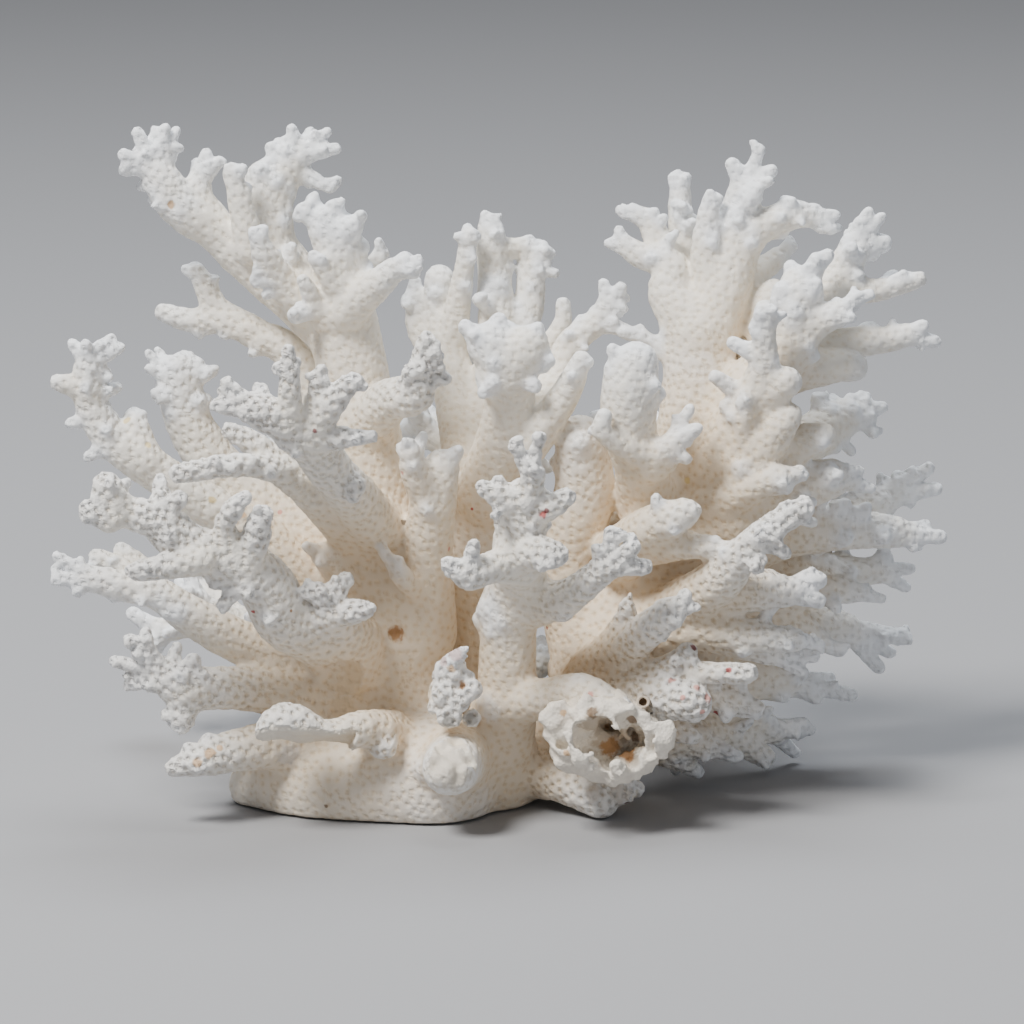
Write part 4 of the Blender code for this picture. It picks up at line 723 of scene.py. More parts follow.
def add_branch(route, number, ages, tips):
    """Melts one branch into the skin. Ages and tips are its values at its root and its end."""
    points = curved(route)
    margin = points[:, 3].max() + BAND
    part, (x, y, z) = window(points[:, :3].min(0) - margin, points[:, :3].max(0) + margin)
    branch = np.full([line.size for line in (x, y, z)], FAR_AWAY, np.float32)
    along_branch = np.zeros_like(branch)
    lines = [x.ravel(), y.ravel(), z.ravel()]
    count = len(points) - 1
    for step in range(count):
        a, b = points[step], points[step + 1]
        reach = max(a[3], b[3]) + BAND
        low, high = np.minimum(a, b)[:3] - reach, np.maximum(a, b)[:3] + reach
        inner = tuple(slice(*np.searchsorted(line, (low[axis], high[axis])))
                      for axis, line in enumerate(lines))
        px, py, pz = np.ix_(*[line[cut] - a[axis] for axis, (line, cut) in enumerate(zip(lines, inner))])
        along = (b[:3] - a[:3]).astype(np.float32)
        ahead = px * along[0] + py * along[1] + pz * along[2]
        share = np.clip(ahead / max(np.dot(along, along), 1e-12), 0, 1)
        gap = np.sqrt((px - share * along[0]) ** 2 + (py - share * along[1]) ** 2
                      + (pz - share * along[2]) ** 2)
        gap = (gap - a[3] - share * (b[3] - a[3])).astype(np.float32)
        closer = gap < branch[inner]
        branch[inner][closer] = gap[closer]
        along_branch[inner][closer] = ((step + share) / count)[closer]
    width = np.clip(MELT_SHARE * points[:, 3].mean(), LEAST_MELT, MOST_MELT)
    merge(part, branch, number, width, ages[0] + along_branch * (ages[1] - ages[0]),
          tips[0] + along_branch * (tips[1] - tips[0]))


def merge(part, shape, number, width, ages, tips):
    """Melts a shape into the skin, and notes whose it is and how old and fresh it is."""
    skin[part] = melt(skin[part], shape, width)
    closer = shape < nearest[part]
    nearest[part][closer] = shape[closer]
    owner[part][closer] = number
    pull = np.exp(-np.clip(shape, -FAR_AWAY, FAR_AWAY) / BLEND_REACH)
    weight[part] += pull
    age_sum[part] += pull * ages
    tip_sum[part] += pull * tips


TWIG_EVERY = 0.0070
TWIG_RADIUS = (0.0010, 0.0014)
TWIG_REACH = (0.0022, 0.0044)
TWIG_RISE = 0.5
WITH_TWIGS = list(right_arms) + list(low_right) + list(far_limbs) + ["right_plate", "right_antler"]
NUBS_ON_FINGER = 0.3
YOUNG_ROOT = 0.15
OLD_END = 1.3
NUB_TIPS = (0.45, 0.9)
TWIG_TIPS = (0.5, 1.0)
FINGER_NUB_TIPS = (0.6, 1.0)
ROUTE_TIPS = (0, 0.55)
FINGER_TIPS = (0.5, 1.0)
for number, (name, limb) in enumerate(limbs.items()):
    for bud in [bud for route in limb["routes"] for bud in nubs(route, NUB_STARTS)]:
        add_branch(bud, number, (limb["age"], limb["age"]), NUB_TIPS)
    if name in WITH_TWIGS:
        for route in limb["routes"]:
            for twig in nubs(route, NUB_STARTS, TWIG_EVERY, TWIG_RADIUS, TWIG_REACH, TWIG_RISE):
                add_branch(twig, number, (limb["age"], limb["age"]), TWIG_TIPS)
    for bud in [bud for branch in limb["fingers"] for bud in nubs(branch, NUBS_ON_FINGER)]:
        add_branch(bud, number, (limb["age"], limb["age"]), FINGER_NUB_TIPS)
    for route in limb["routes"]:
        add_branch(route, number, (YOUNG_ROOT * limb["age"], OLD_END * limb["age"]), ROUTE_TIPS)
    for branch in limb["fingers"]:
        add_branch(branch, number, (limb["age"], limb["age"]), FINGER_TIPS)


# Broken crust
# A thick bowl of crust low in front, broken open: chalky ragged rim, tan and dark brown inside.
CRUST_MIDDLE = place(120.8, 147.6, 36)
CRUST_SIZE = np.array([0.0118, 0.0082, 0.0084])
HOLLOW_SHIFT = np.array([0.0018, -0.0062, -0.0002])
HOLLOW_SIZE = np.array([0.0088, 0.0092, 0.0058])
CRUST_TILT = math.radians(10)
CRUST_LUMPS = ((0.0080, 0.0016), (0.0032, 0.0006))
HOLLOW_LUMPS = ((0.0052, 0.0020), (0.0024, 0.0007))
CRUST_BLEND = 0.0007
CRUST_REACH = 0.018
CRUST_AGE = 1.0
CRUST_TIP = 0.4
CRUST_SEED = 3
HOLLOW_SEED = 5
WAVES_PER_SIZE = 8
WAVE_STRAY = (0.7, 1.4)


def crumbled(x, y, z, lumps, seed):
    """The height of an uneven, knobbly surface, from lumps of each size and height."""
    draws = np.random.default_rng(seed)
    total = 0
    for size, height in lumps:
        for wave in range(WAVES_PER_SIZE):
            way = draws.normal(size=3)
            way = way / np.linalg.norm(way) * math.tau / size * draws.uniform(*WAVE_STRAY)
            phase = draws.uniform(0, math.tau)
            total = total + height / 4 * np.sin(x * way[0] + y * way[1] + z * way[2] + phase)
    return total


def egg(x, y, z, middle, size, tilt):
    """Roughly the distance to an egg whose long side is tilted down to the right."""
    x, y, z = x - middle[0], y - middle[1], z - middle[2]
    along = (x * math.cos(tilt) - z * math.sin(tilt)) / size[0]
    up = (x * math.sin(tilt) + z * math.cos(tilt)) / size[2]
    return (np.sqrt(along ** 2 + (y / size[1]) ** 2 + up ** 2) - 1) * size.min()


def crust_hollow(x, y, z):
    hollow = egg(x, y, z, CRUST_MIDDLE + HOLLOW_SHIFT, HOLLOW_SIZE, CRUST_TILT)
    return hollow + crumbled(x, y, z, HOLLOW_LUMPS, HOLLOW_SEED)


part, (x, y, z) = window(CRUST_MIDDLE - CRUST_REACH, CRUST_MIDDLE + CRUST_REACH)
shell = egg(x, y, z, CRUST_MIDDLE, CRUST_SIZE, CRUST_TILT) + crumbled(x, y, z, CRUST_LUMPS, CRUST_SEED)
hollow = crust_hollow(x, y, z).astype(np.float32)
merge(part, shell.astype(np.float32), len(limbs), CRUST_BLEND, CRUST_AGE, CRUST_TIP)
skin[part] = np.maximum(skin[part], -hollow)


# Barnacles and worm holes
# Small shells cemented to the coral low in the middle: a knobbly clump with a broken shell on top and
# an empty cup below. Elsewhere borers left single holes. A lump or a hole is (across, down, near, radius).
BARNACLE_LUMPS = ((88.2, 135.2, 32.6, 1.6), (90.8, 134.8, 33.8, 1.7), (94.2, 137.8, 33.6, 2.1),
                  (88.6, 138.6, 34.0, 2.3), (91.6, 140.2, 34.4, 2.3), (94.2, 143.6, 32.4, 1.8),
                  (89.8, 143.4, 34.6, 2.3), (86.8, 141.4, 32.6, 1.3), (93.4, 135.4, 32.8, 1.3))
BARNACLE_SHELLS = (((88.0, 132.8, 33, 0.8), (90.6, 131.0, 34.4, 0.8), (93.4, 129.6, 35, 0.55)),
                   ((87.6, 134.0, 33, 0.8), (90.4, 132.8, 35, 0.8), (93.0, 131.4, 35, 0.6)))
HOLES = ((89.8, 144.0, 37.0, 1.5), (79.2, 126.8, 16.0, 1.9), (34.2, 41.0, -0.4, 1.1),
         (92.6, 137.2, 36.2, 0.9))
barnacles = list(limbs).index("barnacle_crust")
for lump in BARNACLE_LUMPS:
    add_branch([placed(lump), placed(lump) + np.array([0.0001, 0, 0, 0])], barnacles, (1, 1), (0.6, 0.6))
for shell in BARNACLE_SHELLS:
    add_branch([placed(point) for point in shell], barnacles, (0.4, 0.4), (0.8, 0.8))
for hole in HOLES:
    middle = placed(hole)
    part, (x, y, z) = window(middle[:3] - 2 * middle[3], middle[:3] + 2 * middle[3])
    gap = np.sqrt((x - middle[0]) ** 2 + (y - middle[1]) ** 2 + (z - middle[2]) ** 2) - middle[3]
    skin[part] = np.maximum(skin[part], -gap.astype(np.float32))


# Worm tube
# The limy tube of a worm, cemented to the foot of the pitted right-hand arm and open toward the viewer. Its
# outline is (distance from the tube's axis, how far out), turned round the axis; the last part is its bore.
TUBE_PLACE = (128.6, 140.4, 33.4)
TUBE_OUTLINE = ((0.0, -1.6), (1.35, -1.6), (1.32, 0.2), (1.20, 0.55), (1.02, 0.62), (0.84, 0.48),
                (0.78, -0.5), (0.0, -0.7))
TUBE_SIDES = 36
TUBE_WAVE = 0.08
TUBE_LIME = (0.66, 0.57, 0.47, 1)
# The near-black brown of the bore is painted shade inside the tube.
BORE_PAINTED_SHADE = (0.07, 0.045, 0.025, 1)
BORE_STARTS = 6
out = eye - place(*TUBE_PLACE)
out = out / np.linalg.norm(out)
across = np.cross(upward, out)
over = np.cross(out, across)
tube_spots = [place(*TUBE_PLACE) + MILLIMETRE * TUBE_OUTLINE[0][1] * out]
for radius, height in TUBE_OUTLINE[1:-1]:
    for side in range(TUBE_SIDES):
        turn = 2 * math.pi * side / TUBE_SIDES
        wavy = radius * (1 + TUBE_WAVE * math.sin(3 * turn + 4 * height))
        spot = wavy * (math.cos(turn) * across + math.sin(turn) * over) + height * out
        tube_spots.append(place(*TUBE_PLACE) + MILLIMETRE * spot)
tube_spots.append(place(*TUBE_PLACE) + MILLIMETRE * TUBE_OUTLINE[-1][1] * out)
tube_faces, bore_faces = [], []
for side in range(TUBE_SIDES):
    after = (side + 1) % TUBE_SIDES
    tube_faces.append((0, 1 + after, 1 + side))
    for row in range(len(TUBE_OUTLINE) - 3):
        low, high = 1 + row * TUBE_SIDES, 1 + (row + 1) * TUBE_SIDES
        tube_faces.append((low + side, low + after, high + after, high + side))
    bore_faces.append((high + side, high + after, len(tube_spots) - 1))
tube_mesh = bpy.data.meshes.new("worm tube")
tube_mesh.from_pydata([tuple(spot) for spot in tube_spots], [], tube_faces + bore_faces)
tube_mesh.materials.append(flat_material("tube lime", TUBE_LIME, 0.85))
# The bore's dark finish is painted shade.
tube_mesh.materials.append(flat_material("tube bore, painted shade", BORE_PAINTED_SHADE, 0.95))
for number, face in enumerate(tube_mesh.polygons):
    face.use_smooth = True
    ring_row = min(face.vertices) // TUBE_SIDES
    face.material_index = int(number >= len(tube_faces) or ring_row >= BORE_STARTS - 1)
worm_tube = bpy.data.objects.new("worm_tube", tube_mesh)
bpy.context.scene.collection.objects.link(worm_tube)
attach(worm_tube, "root")


# Breaks
# Where branches snapped off: a slanted face on the stub in the middle, and the flat dark underside of the
# ledge. A break is (middle, reach, way that the face looks, how far out it lies), then its lumps.
BREAKS = (((90.0, 153.4, 38), 0.0080, (0.10, -0.62, 0.78), 0.0032, ((0.0050, 0.0016), (0.0016, 0.00045))),
          ((59.0, 146.2, 36), 0.0118, (0.05, -0.52, -0.85), 0.0010, ((0.0060, 0.0005), (0.0017, 0.0002))),
          ((123.0, 161.5, 25), 0.0062, (0.75, -0.35, -0.55), 0.0012, ((0.0040, 0.0009), (0.0014, 0.0004))))
FIRST_BREAK_SEED = 20
ALCOVE = (67.2, 138.2, 22.4)
ALCOVE_SIZE = np.array([0.0066, 0.0046, 0.0082])
ALCOVE_REACH = 0.01
SLOT_REACH = 0.008
SLOT_DEPTH = 4


def past_break(x, y, z, number):
    """How far a place lies beyond a break's face, and how far inside its reach."""
    middle, reach, facing, out, lumps = BREAKS[number]
    middle = place(*middle)
    x, y, z = x - middle[0], y - middle[1], z - middle[2]
    beyond = (x * facing[0] + y * facing[1] + z * facing[2]) / np.linalg.norm(facing) - out
    beyond = beyond + crumbled(x, y, z, lumps, FIRST_BREAK_SEED + number)
    return beyond, reach - np.sqrt(x ** 2 + y ** 2 + z ** 2)


SLOTS = (((137.4, 57.6, 2, 1.1), (138.6, 62.6, 3, 1.4)), ((146.4, 54.4, -2, 1.0), (146.2, 57.4, -1, 1.2)))
for slot in SLOTS:
    first, last = placed(slot[0]), placed(slot[1])
    low, high = np.minimum(first, last)[:3], np.maximum(first, last)[:3]
    part, (x, y, z) = window(low - SLOT_REACH, high + SLOT_REACH)
    along = last[:3] - first[:3]
    share = (x - first[0]) * along[0] + (y - first[1]) * along[1] + (z - first[2]) * along[2]
    share = np.clip(share / np.dot(along, along), 0, 1)
    across = np.sqrt((x - first[0] - share * along[0]) ** 2 + (z - first[2] - share * along[2]) ** 2)
    behind = (y - first[1] - share * along[1]) / SLOT_DEPTH
    gap = np.sqrt(across ** 2 + behind ** 2) - first[3] - share * (last[3] - first[3])
    skin[part] = np.maximum(skin[part], -gap.astype(np.float32))
for number in range(len(BREAKS)):
    middle, reach = place(*BREAKS[number][0]), BREAKS[number][1]
    part, (x, y, z) = window(middle - reach, middle + reach)
    beyond, within = past_break(x, y, z, number)
    skin[part] = np.maximum(skin[part], np.minimum(beyond, within).astype(np.float32))
alcove = place(*ALCOVE)
part, (x, y, z) = window(alcove - ALCOVE_REACH, alcove + ALCOVE_REACH)
skin[part] = np.maximum(skin[part], -egg(x, y, z, alcove, ALCOVE_SIZE, 0).astype(np.float32))


# Flat cut
# The colony was sawn off level under its foot, so that it stands by itself on a shelf.
# Below that level there is no skeleton, and what is left becomes one closed skin of small faces.
heights = (corner[2] + CELL * np.arange(cells[2])).astype(np.float32)
skin = np.maximum(skin, -heights[None, None, :])

volume = openvdb.FloatGrid(FAR_AWAY)
volume.copyFromArray(np.clip(skin, -FAR_AWAY, FAR_AWAY))
points, quads = volume.convertToQuads(0.0)
points = points.astype(np.float64)
quads = quads.astype(np.int64)


def sampled(grid, at):
    """A grid's value at points given in cells, blended between its eight neighbours."""
    first = np.clip(np.floor(at).astype(int), 0, cells - 2)
    share = at - first
    total = np.zeros(len(at))
    for dx in (0, 1):
        for dy in (0, 1):
            for dz in (0, 1):
                part = np.abs(1 - dx - share[:, 0]) * np.abs(1 - dy - share[:, 1])
                part = part * np.abs(1 - dz - share[:, 2])
                total += part * grid[first[:, 0] + dx, first[:, 1] + dy, first[:, 2] + dz]
    return total


# Shelter
# Deep inside the colony the finish turns beige, which is painted shade. How deep a place lies is the share of
# skeleton in a wide cube around it, and where a break or the crust is bare, no cups are left.
COARSE = 4
DEPTH_REACH = 7
trimmed = cells // COARSE * COARSE
inside = (skin[:trimmed[0], :trimmed[1], :trimmed[2]] < 0).astype(np.float32)
inside = inside.reshape(trimmed[0] // COARSE, COARSE, trimmed[1] // COARSE, COARSE,
                        trimmed[2] // COARSE, COARSE)
crowd = inside.mean(axis=(1, 3, 5))
for axis in range(3):
    for turn in range(2):
        rims = [(DEPTH_REACH, DEPTH_REACH) if a == axis else (0, 0) for a in range(3)]
        padded = np.pad(crowd, rims, mode="edge")
        total = np.cumsum(padded, axis=axis)
        ahead = np.take(total, range(2 * DEPTH_REACH, total.shape[axis]), axis=axis)
        behind = np.take(total, range(0, total.shape[axis] - 2 * DEPTH_REACH), axis=axis)
        crowd = (ahead - behind) / (2 * DEPTH_REACH)
coarse_at = np.clip((points / COARSE).astype(int), 0, np.array(crowd.shape) - 1)
depth = crowd[coarse_at[:, 0], coarse_at[:, 1], coarse_at[:, 2]]
point_age = sampled(age_sum, points) / sampled(weight, points)
point_tip = sampled(tip_sum, points) / sampled(weight, points)
rounded = np.clip(np.round(points).astype(int), 0, cells - 1)
point_owner = owner[rounded[:, 0], rounded[:, 1], rounded[:, 2]].astype(np.int64)
spots = corner + CELL * points
spots[:, 2] = np.maximum(spots[:, 2], 0)
BARE_BAND = 0.0006
bare = crust_hollow(*spots.T) < BARE_BAND
for number in range(len(BREAKS)):
    beyond, within = past_break(*spots.T, number)
    bare |= (np.abs(beyond) < BARE_BAND) & (within > 0)
bare |= point_owner == names.index("broken_crust")
bare = bare.astype(np.float64)


def mesh_of(name, spots, faces, sides):
    """A mesh from arrays, whose faces all have the same number of sides."""
    mesh = bpy.data.meshes.new(name)
    mesh.vertices.add(len(spots))
    mesh.vertices.foreach_set("co", np.asarray(spots, np.float32).ravel())
    mesh.loops.add(faces.size)
    mesh.loops.foreach_set("vertex_index", faces.ravel().astype(np.int32))
    mesh.polygons.add(len(faces))
    mesh.polygons.foreach_set("loop_start", np.arange(0, faces.size, sides, dtype=np.int32))
    mesh.update(calc_edges=True)
    return mesh


def add_numbers(mesh, name, values):
    layer = mesh.attributes.new(name, "FLOAT", "POINT")
    layer.data.foreach_set("value", np.asarray(values, np.float32))


# Corallites
# The cups that the polyps sat in, pressed into the skin 1.9 mm apart. On old branches they are deep,
# with raised walls between them like a honeycomb, and on the smooth ones they are flush and shallow.
CORALLITE_GAP = 0.00145
CORALLITE_HALF = 0.00098
HONEYCOMB_DEPTH = 0.00046
FLUSH_DEPTH = 0.00008
GRAIN_SIZE = 0.0011
GRAIN_HEIGHT = 0.00018
LUMP_SIZE = 0.0036
LUMP_HEIGHT = 0.00042
SCATTER_SEED = 4
MOST_CORALLITES = 1.6e6
CUT_EDGE = (0.0002, 0.0012)
WALL_RAMP = (0.15, 1.05)
VARIETY_SCALE = 260
VARIETY = (1.2, 0.4)
AGE_POWER = 1.3
WALL_RISE = 0.45
GRAIN_SHARES = (1.0, 0.4)
LUMP_SHARES = (1.0, 0.7)
NOISE_DETAIL = 3


def corallite_tree():
    """Cups pressed into the skin round scattered points, which it also marks for the finish."""
    tree = bpy.data.node_groups.new("corallites", "GeometryNodeTree")
    sockets = {}
    for socket_name, kind in (("Skin", "NodeSocketGeometry"), ("Gap between corallites", "NodeSocketFloat"),
                              ("Half width", "NodeSocketFloat"), ("Honeycomb depth", "NodeSocketFloat"),
                              ("Flush depth", "NodeSocketFloat"), ("Grain size", "NodeSocketFloat"),
                              ("Grain height", "NodeSocketFloat"), ("Lump size", "NodeSocketFloat"),
                              ("Lump height", "NodeSocketFloat"), ("Seed", "NodeSocketInt"),
                              ("Finish", "NodeSocketMaterial")):
        made = tree.interface.new_socket(socket_name, in_out="INPUT", socket_type=kind)
        sockets[socket_name] = made.identifier
    tree.interface.new_socket("Skin", in_out="OUTPUT", socket_type="NodeSocketGeometry")
    given = tree.nodes.new("NodeGroupInput")
    result = tree.nodes.new("NodeGroupOutput")

    def node(kind, **settings):
        made = tree.nodes.new(kind)
        for key, value in settings.items():
            setattr(made, key, value)
        return made

    def math_node(operation, first, second=None, third=None):
        made = node("ShaderNodeMath", operation=operation)
        for socket, value in zip(made.inputs, (first, second, third)):
            if isinstance(value, (int, float)):
                socket.default_value = value
            elif value is not None:
                tree.links.new(value, socket)
        return made.outputs[0]

    scatter = node("GeometryNodeDistributePointsOnFaces", distribute_method="POISSON")
    scatter.inputs["Density Max"].default_value = MOST_CORALLITES
    tree.links.new(given.outputs["Skin"], scatter.inputs["Mesh"])
    tree.links.new(given.outputs["Gap between corallites"], scatter.inputs["Distance Min"])
    tree.links.new(given.outputs["Seed"], scatter.inputs["Seed"])
    near = node("GeometryNodeProximity", target_element="POINTS")
    tree.links.new(scatter.outputs["Points"], near.inputs[0])
    distance = near.outputs["Distance"]
    centre = node("GeometryNodeStoreNamedAttribute", data_type="FLOAT_VECTOR", domain="POINT")
    centre.inputs["Name"].default_value = "corallite"
    tree.links.new(given.outputs["Skin"], centre.inputs["Geometry"])
    tree.links.new(near.outputs["Position"], centre.inputs["Value"])
    reach = node("GeometryNodeStoreNamedAttribute", data_type="FLOAT", domain="POINT")
    reach.inputs["Name"].default_value = "reach"
    tree.links.new(centre.outputs["Geometry"], reach.inputs["Geometry"])
    tree.links.new(distance, reach.inputs["Value"])
    above = node("GeometryNodeInputPosition")

    age = node("GeometryNodeInputNamedAttribute", data_type="FLOAT")
    age.inputs["Name"].default_value = "age"
    age = age.outputs["Attribute"]
    split = node("ShaderNodeSeparateXYZ")
    tree.links.new(above.outputs[0], split.inputs[0])
    off_ground = node("ShaderNodeMapRange", interpolation_type="SMOOTHSTEP")
    tree.links.new(split.outputs["Z"], off_ground.inputs["Value"])
    off_ground.inputs["From Min"].default_value = CUT_EDGE[0]
    off_ground.inputs["From Max"].default_value = CUT_EDGE[1]

    share = math_node("DIVIDE", distance, given.outputs["Half width"])
    wall = node("ShaderNodeMapRange", interpolation_type="SMOOTHSTEP")
    tree.links.new(share, wall.inputs["Value"])
    wall.inputs["From Min"].default_value = WALL_RAMP[0]
    wall.inputs["From Max"].default_value = WALL_RAMP[1]
    cup = math_node("SUBTRACT", wall.outputs["Result"], 1.0)
    own_depth = node("ShaderNodeTexNoise", noise_dimensions="3D")
    own_depth.inputs["Scale"].default_value = VARIETY_SCALE
    tree.links.new(near.outputs["Position"], own_depth.inputs["Vector"])
    varied = math_node("MULTIPLY_ADD", own_depth.outputs[0], *VARIETY)
    deeper = math_node("SUBTRACT", given.outputs["Honeycomb depth"], given.outputs["Flush depth"])
    old = math_node("POWER", age, AGE_POWER)
    full_depth = math_node("MULTIPLY_ADD", old, deeper, given.outputs["Flush depth"])
    pressed = math_node("MULTIPLY", cup, math_node("MULTIPLY", full_depth, varied))
    raised = math_node("MULTIPLY", full_depth, WALL_RISE)
    pressed = math_node("ADD", pressed, raised)
    bare = node("GeometryNodeInputNamedAttribute", data_type="FLOAT")
    bare.inputs["Name"].default_value = "bare"
    pressed = math_node("MULTIPLY", pressed, math_node("SUBTRACT", 1.0, bare.outputs["Attribute"]))

    def noise_height(size, height, old_share, fresh_share):
        texture = node("ShaderNodeTexNoise", noise_dimensions="3D")
        texture.inputs["Detail"].default_value = NOISE_DETAIL
        tree.links.new(above.outputs[0], texture.inputs["Vector"])
        tree.links.new(math_node("DIVIDE", 1.0, size), texture.inputs["Scale"])
        centred = math_node("MULTIPLY_ADD", texture.outputs[0], 2.0, -1.0)
        strength = math_node("MULTIPLY_ADD", age, old_share - fresh_share, fresh_share)
        return math_node("MULTIPLY", centred, math_node("MULTIPLY", height, strength))

    grain = noise_height(given.outputs["Grain size"], given.outputs["Grain height"], *GRAIN_SHARES)
    lumps = noise_height(given.outputs["Lump size"], given.outputs["Lump height"], *LUMP_SHARES)
    height = math_node("ADD", pressed, math_node("ADD", grain, lumps))
    height = math_node("MULTIPLY", height, off_ground.outputs["Result"])
    normal = node("GeometryNodeInputNormal")
    offset = node("ShaderNodeVectorMath", operation="SCALE")
    tree.links.new(normal.outputs[0], offset.inputs[0])
    tree.links.new(height, offset.inputs["Scale"])
    moved = node("GeometryNodeSetPosition")
    tree.links.new(reach.outputs["Geometry"], moved.inputs["Geometry"])
    tree.links.new(offset.outputs[0], moved.inputs["Offset"])
    real = node("GeometryNodeRealizeInstances")
    finish = node("GeometryNodeSetMaterial")
    tree.links.new(moved.outputs[0], real.inputs[0])
    tree.links.new(real.outputs[0], finish.inputs["Geometry"])
    tree.links.new(given.outputs["Finish"], finish.inputs["Material"])
    tree.links.new(finish.outputs[0], result.inputs[0])
    return tree, sockets


# The bone finish
# Bleached aragonite: white at the fresh tips with a tint of painted cool light, cream on the stems, painted
# shade in beige deep inside and in the cups, and greyed with age in front. One finish serves every piece,
# driven by what each place is.
# The fresh tips' own white, with a cool tint that is painted cool light.
TIP_WHITE_AND_COOL_LIGHT = (0.86, 0.875, 0.895, 1)
STEM_CREAM = (0.84, 0.78, 0.67, 1)
# Painted shade: the beige painted on places deep inside the colony and in the alcove.
PAINTED_SHADE_BEIGE = (0.74, 0.59, 0.40, 1)
OLD_GREY = (0.66, 0.60, 0.53, 1)
# Painted shade: the beige painted into the middle of each cup.
CUP_PAINTED_SHADE = (0.58, 0.45, 0.31, 1)
CHALK = (0.78, 0.75, 0.70, 1)
MARK_STRENGTH = 0.85
CUP_RADIUS = 0.00036
BOWL_RADIUS = 0.00095
CUP_EDGE = (0.35, 1.25)
OWN_CUP = (0.00055, 0.00075)
CUP_RAGGED_SCALE = 2800
CUP_RAGGED = 0.0003
WALL_RAGGED = 0.0002
BOWL_EDGE = (0.1, 1.0)
SHADE_SCALE = 300


def linked_node(tree, kind, inputs=None, **settings):
    """Adds a node. An input is a number, a colour or another node's output."""
    made = tree.nodes.new(kind)
    for key, value in settings.items():
        setattr(made, key, value)
    for key, value in (inputs or {}).items():
        if isinstance(value, bpy.types.NodeSocket):
            tree.links.new(value, made.inputs[key])
        else:
            made.inputs[key].default_value = value
    return made


def shader_math(tree, operation, *values):
    return linked_node(tree, "ShaderNodeMath", dict(enumerate(values)), operation=operation).outputs[0]


def ramp(tree, value, low, high, kind="SMOOTHSTEP"):
    inputs = {"Value": value, "From Min": low, "From Max": high}
    return linked_node(tree, "ShaderNodeMapRange", inputs, interpolation_type=kind).outputs["Result"]


def mixed(tree, share, first, second, blend="MIX"):
    made = linked_node(tree, "ShaderNodeMix", data_type="RGBA", blend_type=blend)
    for key, value in ((0, share), (6, first), (7, second)):
        if isinstance(value, bpy.types.NodeSocket):
            tree.links.new(value, made.inputs[key])
        else:
            made.inputs[key].default_value = value
    return made.outputs[2]


def cup_group():
    """The corallites: the dark middle of each cup, how far down its bowl a place lies, and its own shade."""
    group = bpy.data.node_groups.new("corallite cup", "ShaderNodeTree")
    for name, value in (("Cup radius", CUP_RADIUS), ("Bowl radius", BOWL_RADIUS)):
        group.interface.new_socket(name, in_out="INPUT", socket_type="NodeSocketFloat").default_value = value
    for name in ("Cup", "Wall", "Shade"):
        group.interface.new_socket(name, in_out="OUTPUT", socket_type="NodeSocketFloat")
    given = group.nodes.new("NodeGroupInput")
    result = group.nodes.new("NodeGroupOutput")
    centre = linked_node(group, "ShaderNodeAttribute", attribute_name="corallite").outputs["Vector"]
    reach = linked_node(group, "ShaderNodeAttribute", attribute_name="reach").outputs["Fac"]
    bare = linked_node(group, "ShaderNodeAttribute", attribute_name="bare").outputs["Fac"]
    covered = shader_math(group, "SUBTRACT", 1.0, bare)
    here = linked_node(group, "ShaderNodeTexCoord").outputs["Object"]
    outward = linked_node(group, "ShaderNodeNewGeometry").outputs["Normal"]
    away = linked_node(group, "ShaderNodeVectorMath", {0: here, 1: centre}, operation="SUBTRACT").outputs[0]
    flat = linked_node(group, "ShaderNodeVectorMath", {0: away, 1: outward}, operation="CROSS_PRODUCT")
    gap = linked_node(group, "ShaderNodeVectorMath", {0: flat.outputs[0]}, operation="LENGTH")
    inputs = {"Vector": here, "Scale": CUP_RAGGED_SCALE, "Detail": 2}
    ragged = linked_node(group, "ShaderNodeTexNoise", inputs).outputs[0]
    ragged = shader_math(group, "SUBTRACT", ragged, 0.5)
    gap = shader_math(group, "MULTIPLY_ADD", ragged, CUP_RAGGED, gap.outputs["Value"])
    own = shader_math(group, "SUBTRACT", 1.0, ramp(group, reach, *OWN_CUP))
    share = shader_math(group, "DIVIDE", gap, given.outputs["Cup radius"])
    cup = shader_math(group, "SUBTRACT", 1.0, ramp(group, share, *CUP_EDGE))
    cup = shader_math(group, "MULTIPLY", cup, own)
    uneven = shader_math(group, "MULTIPLY_ADD", ragged, WALL_RAGGED, reach)
    wall = ramp(group, shader_math(group, "DIVIDE", uneven, given.outputs["Bowl radius"]), *BOWL_EDGE)
    tint = linked_node(group, "ShaderNodeTexNoise", {"Vector": centre, "Scale": SHADE_SCALE})
    group.links.new(shader_math(group, "MULTIPLY", cup, covered), result.inputs["Cup"])
    group.links.new(shader_math(group, "MULTIPLY", wall, covered), result.inputs["Wall"])
    group.links.new(tint.outputs[0], result.inputs["Shade"])
    return group


cups = cup_group()
MARK_RAGGED_SCALE = 900
MARK_RAGGED = 1.4
MARK_EDGE = (0.55, 1.1)


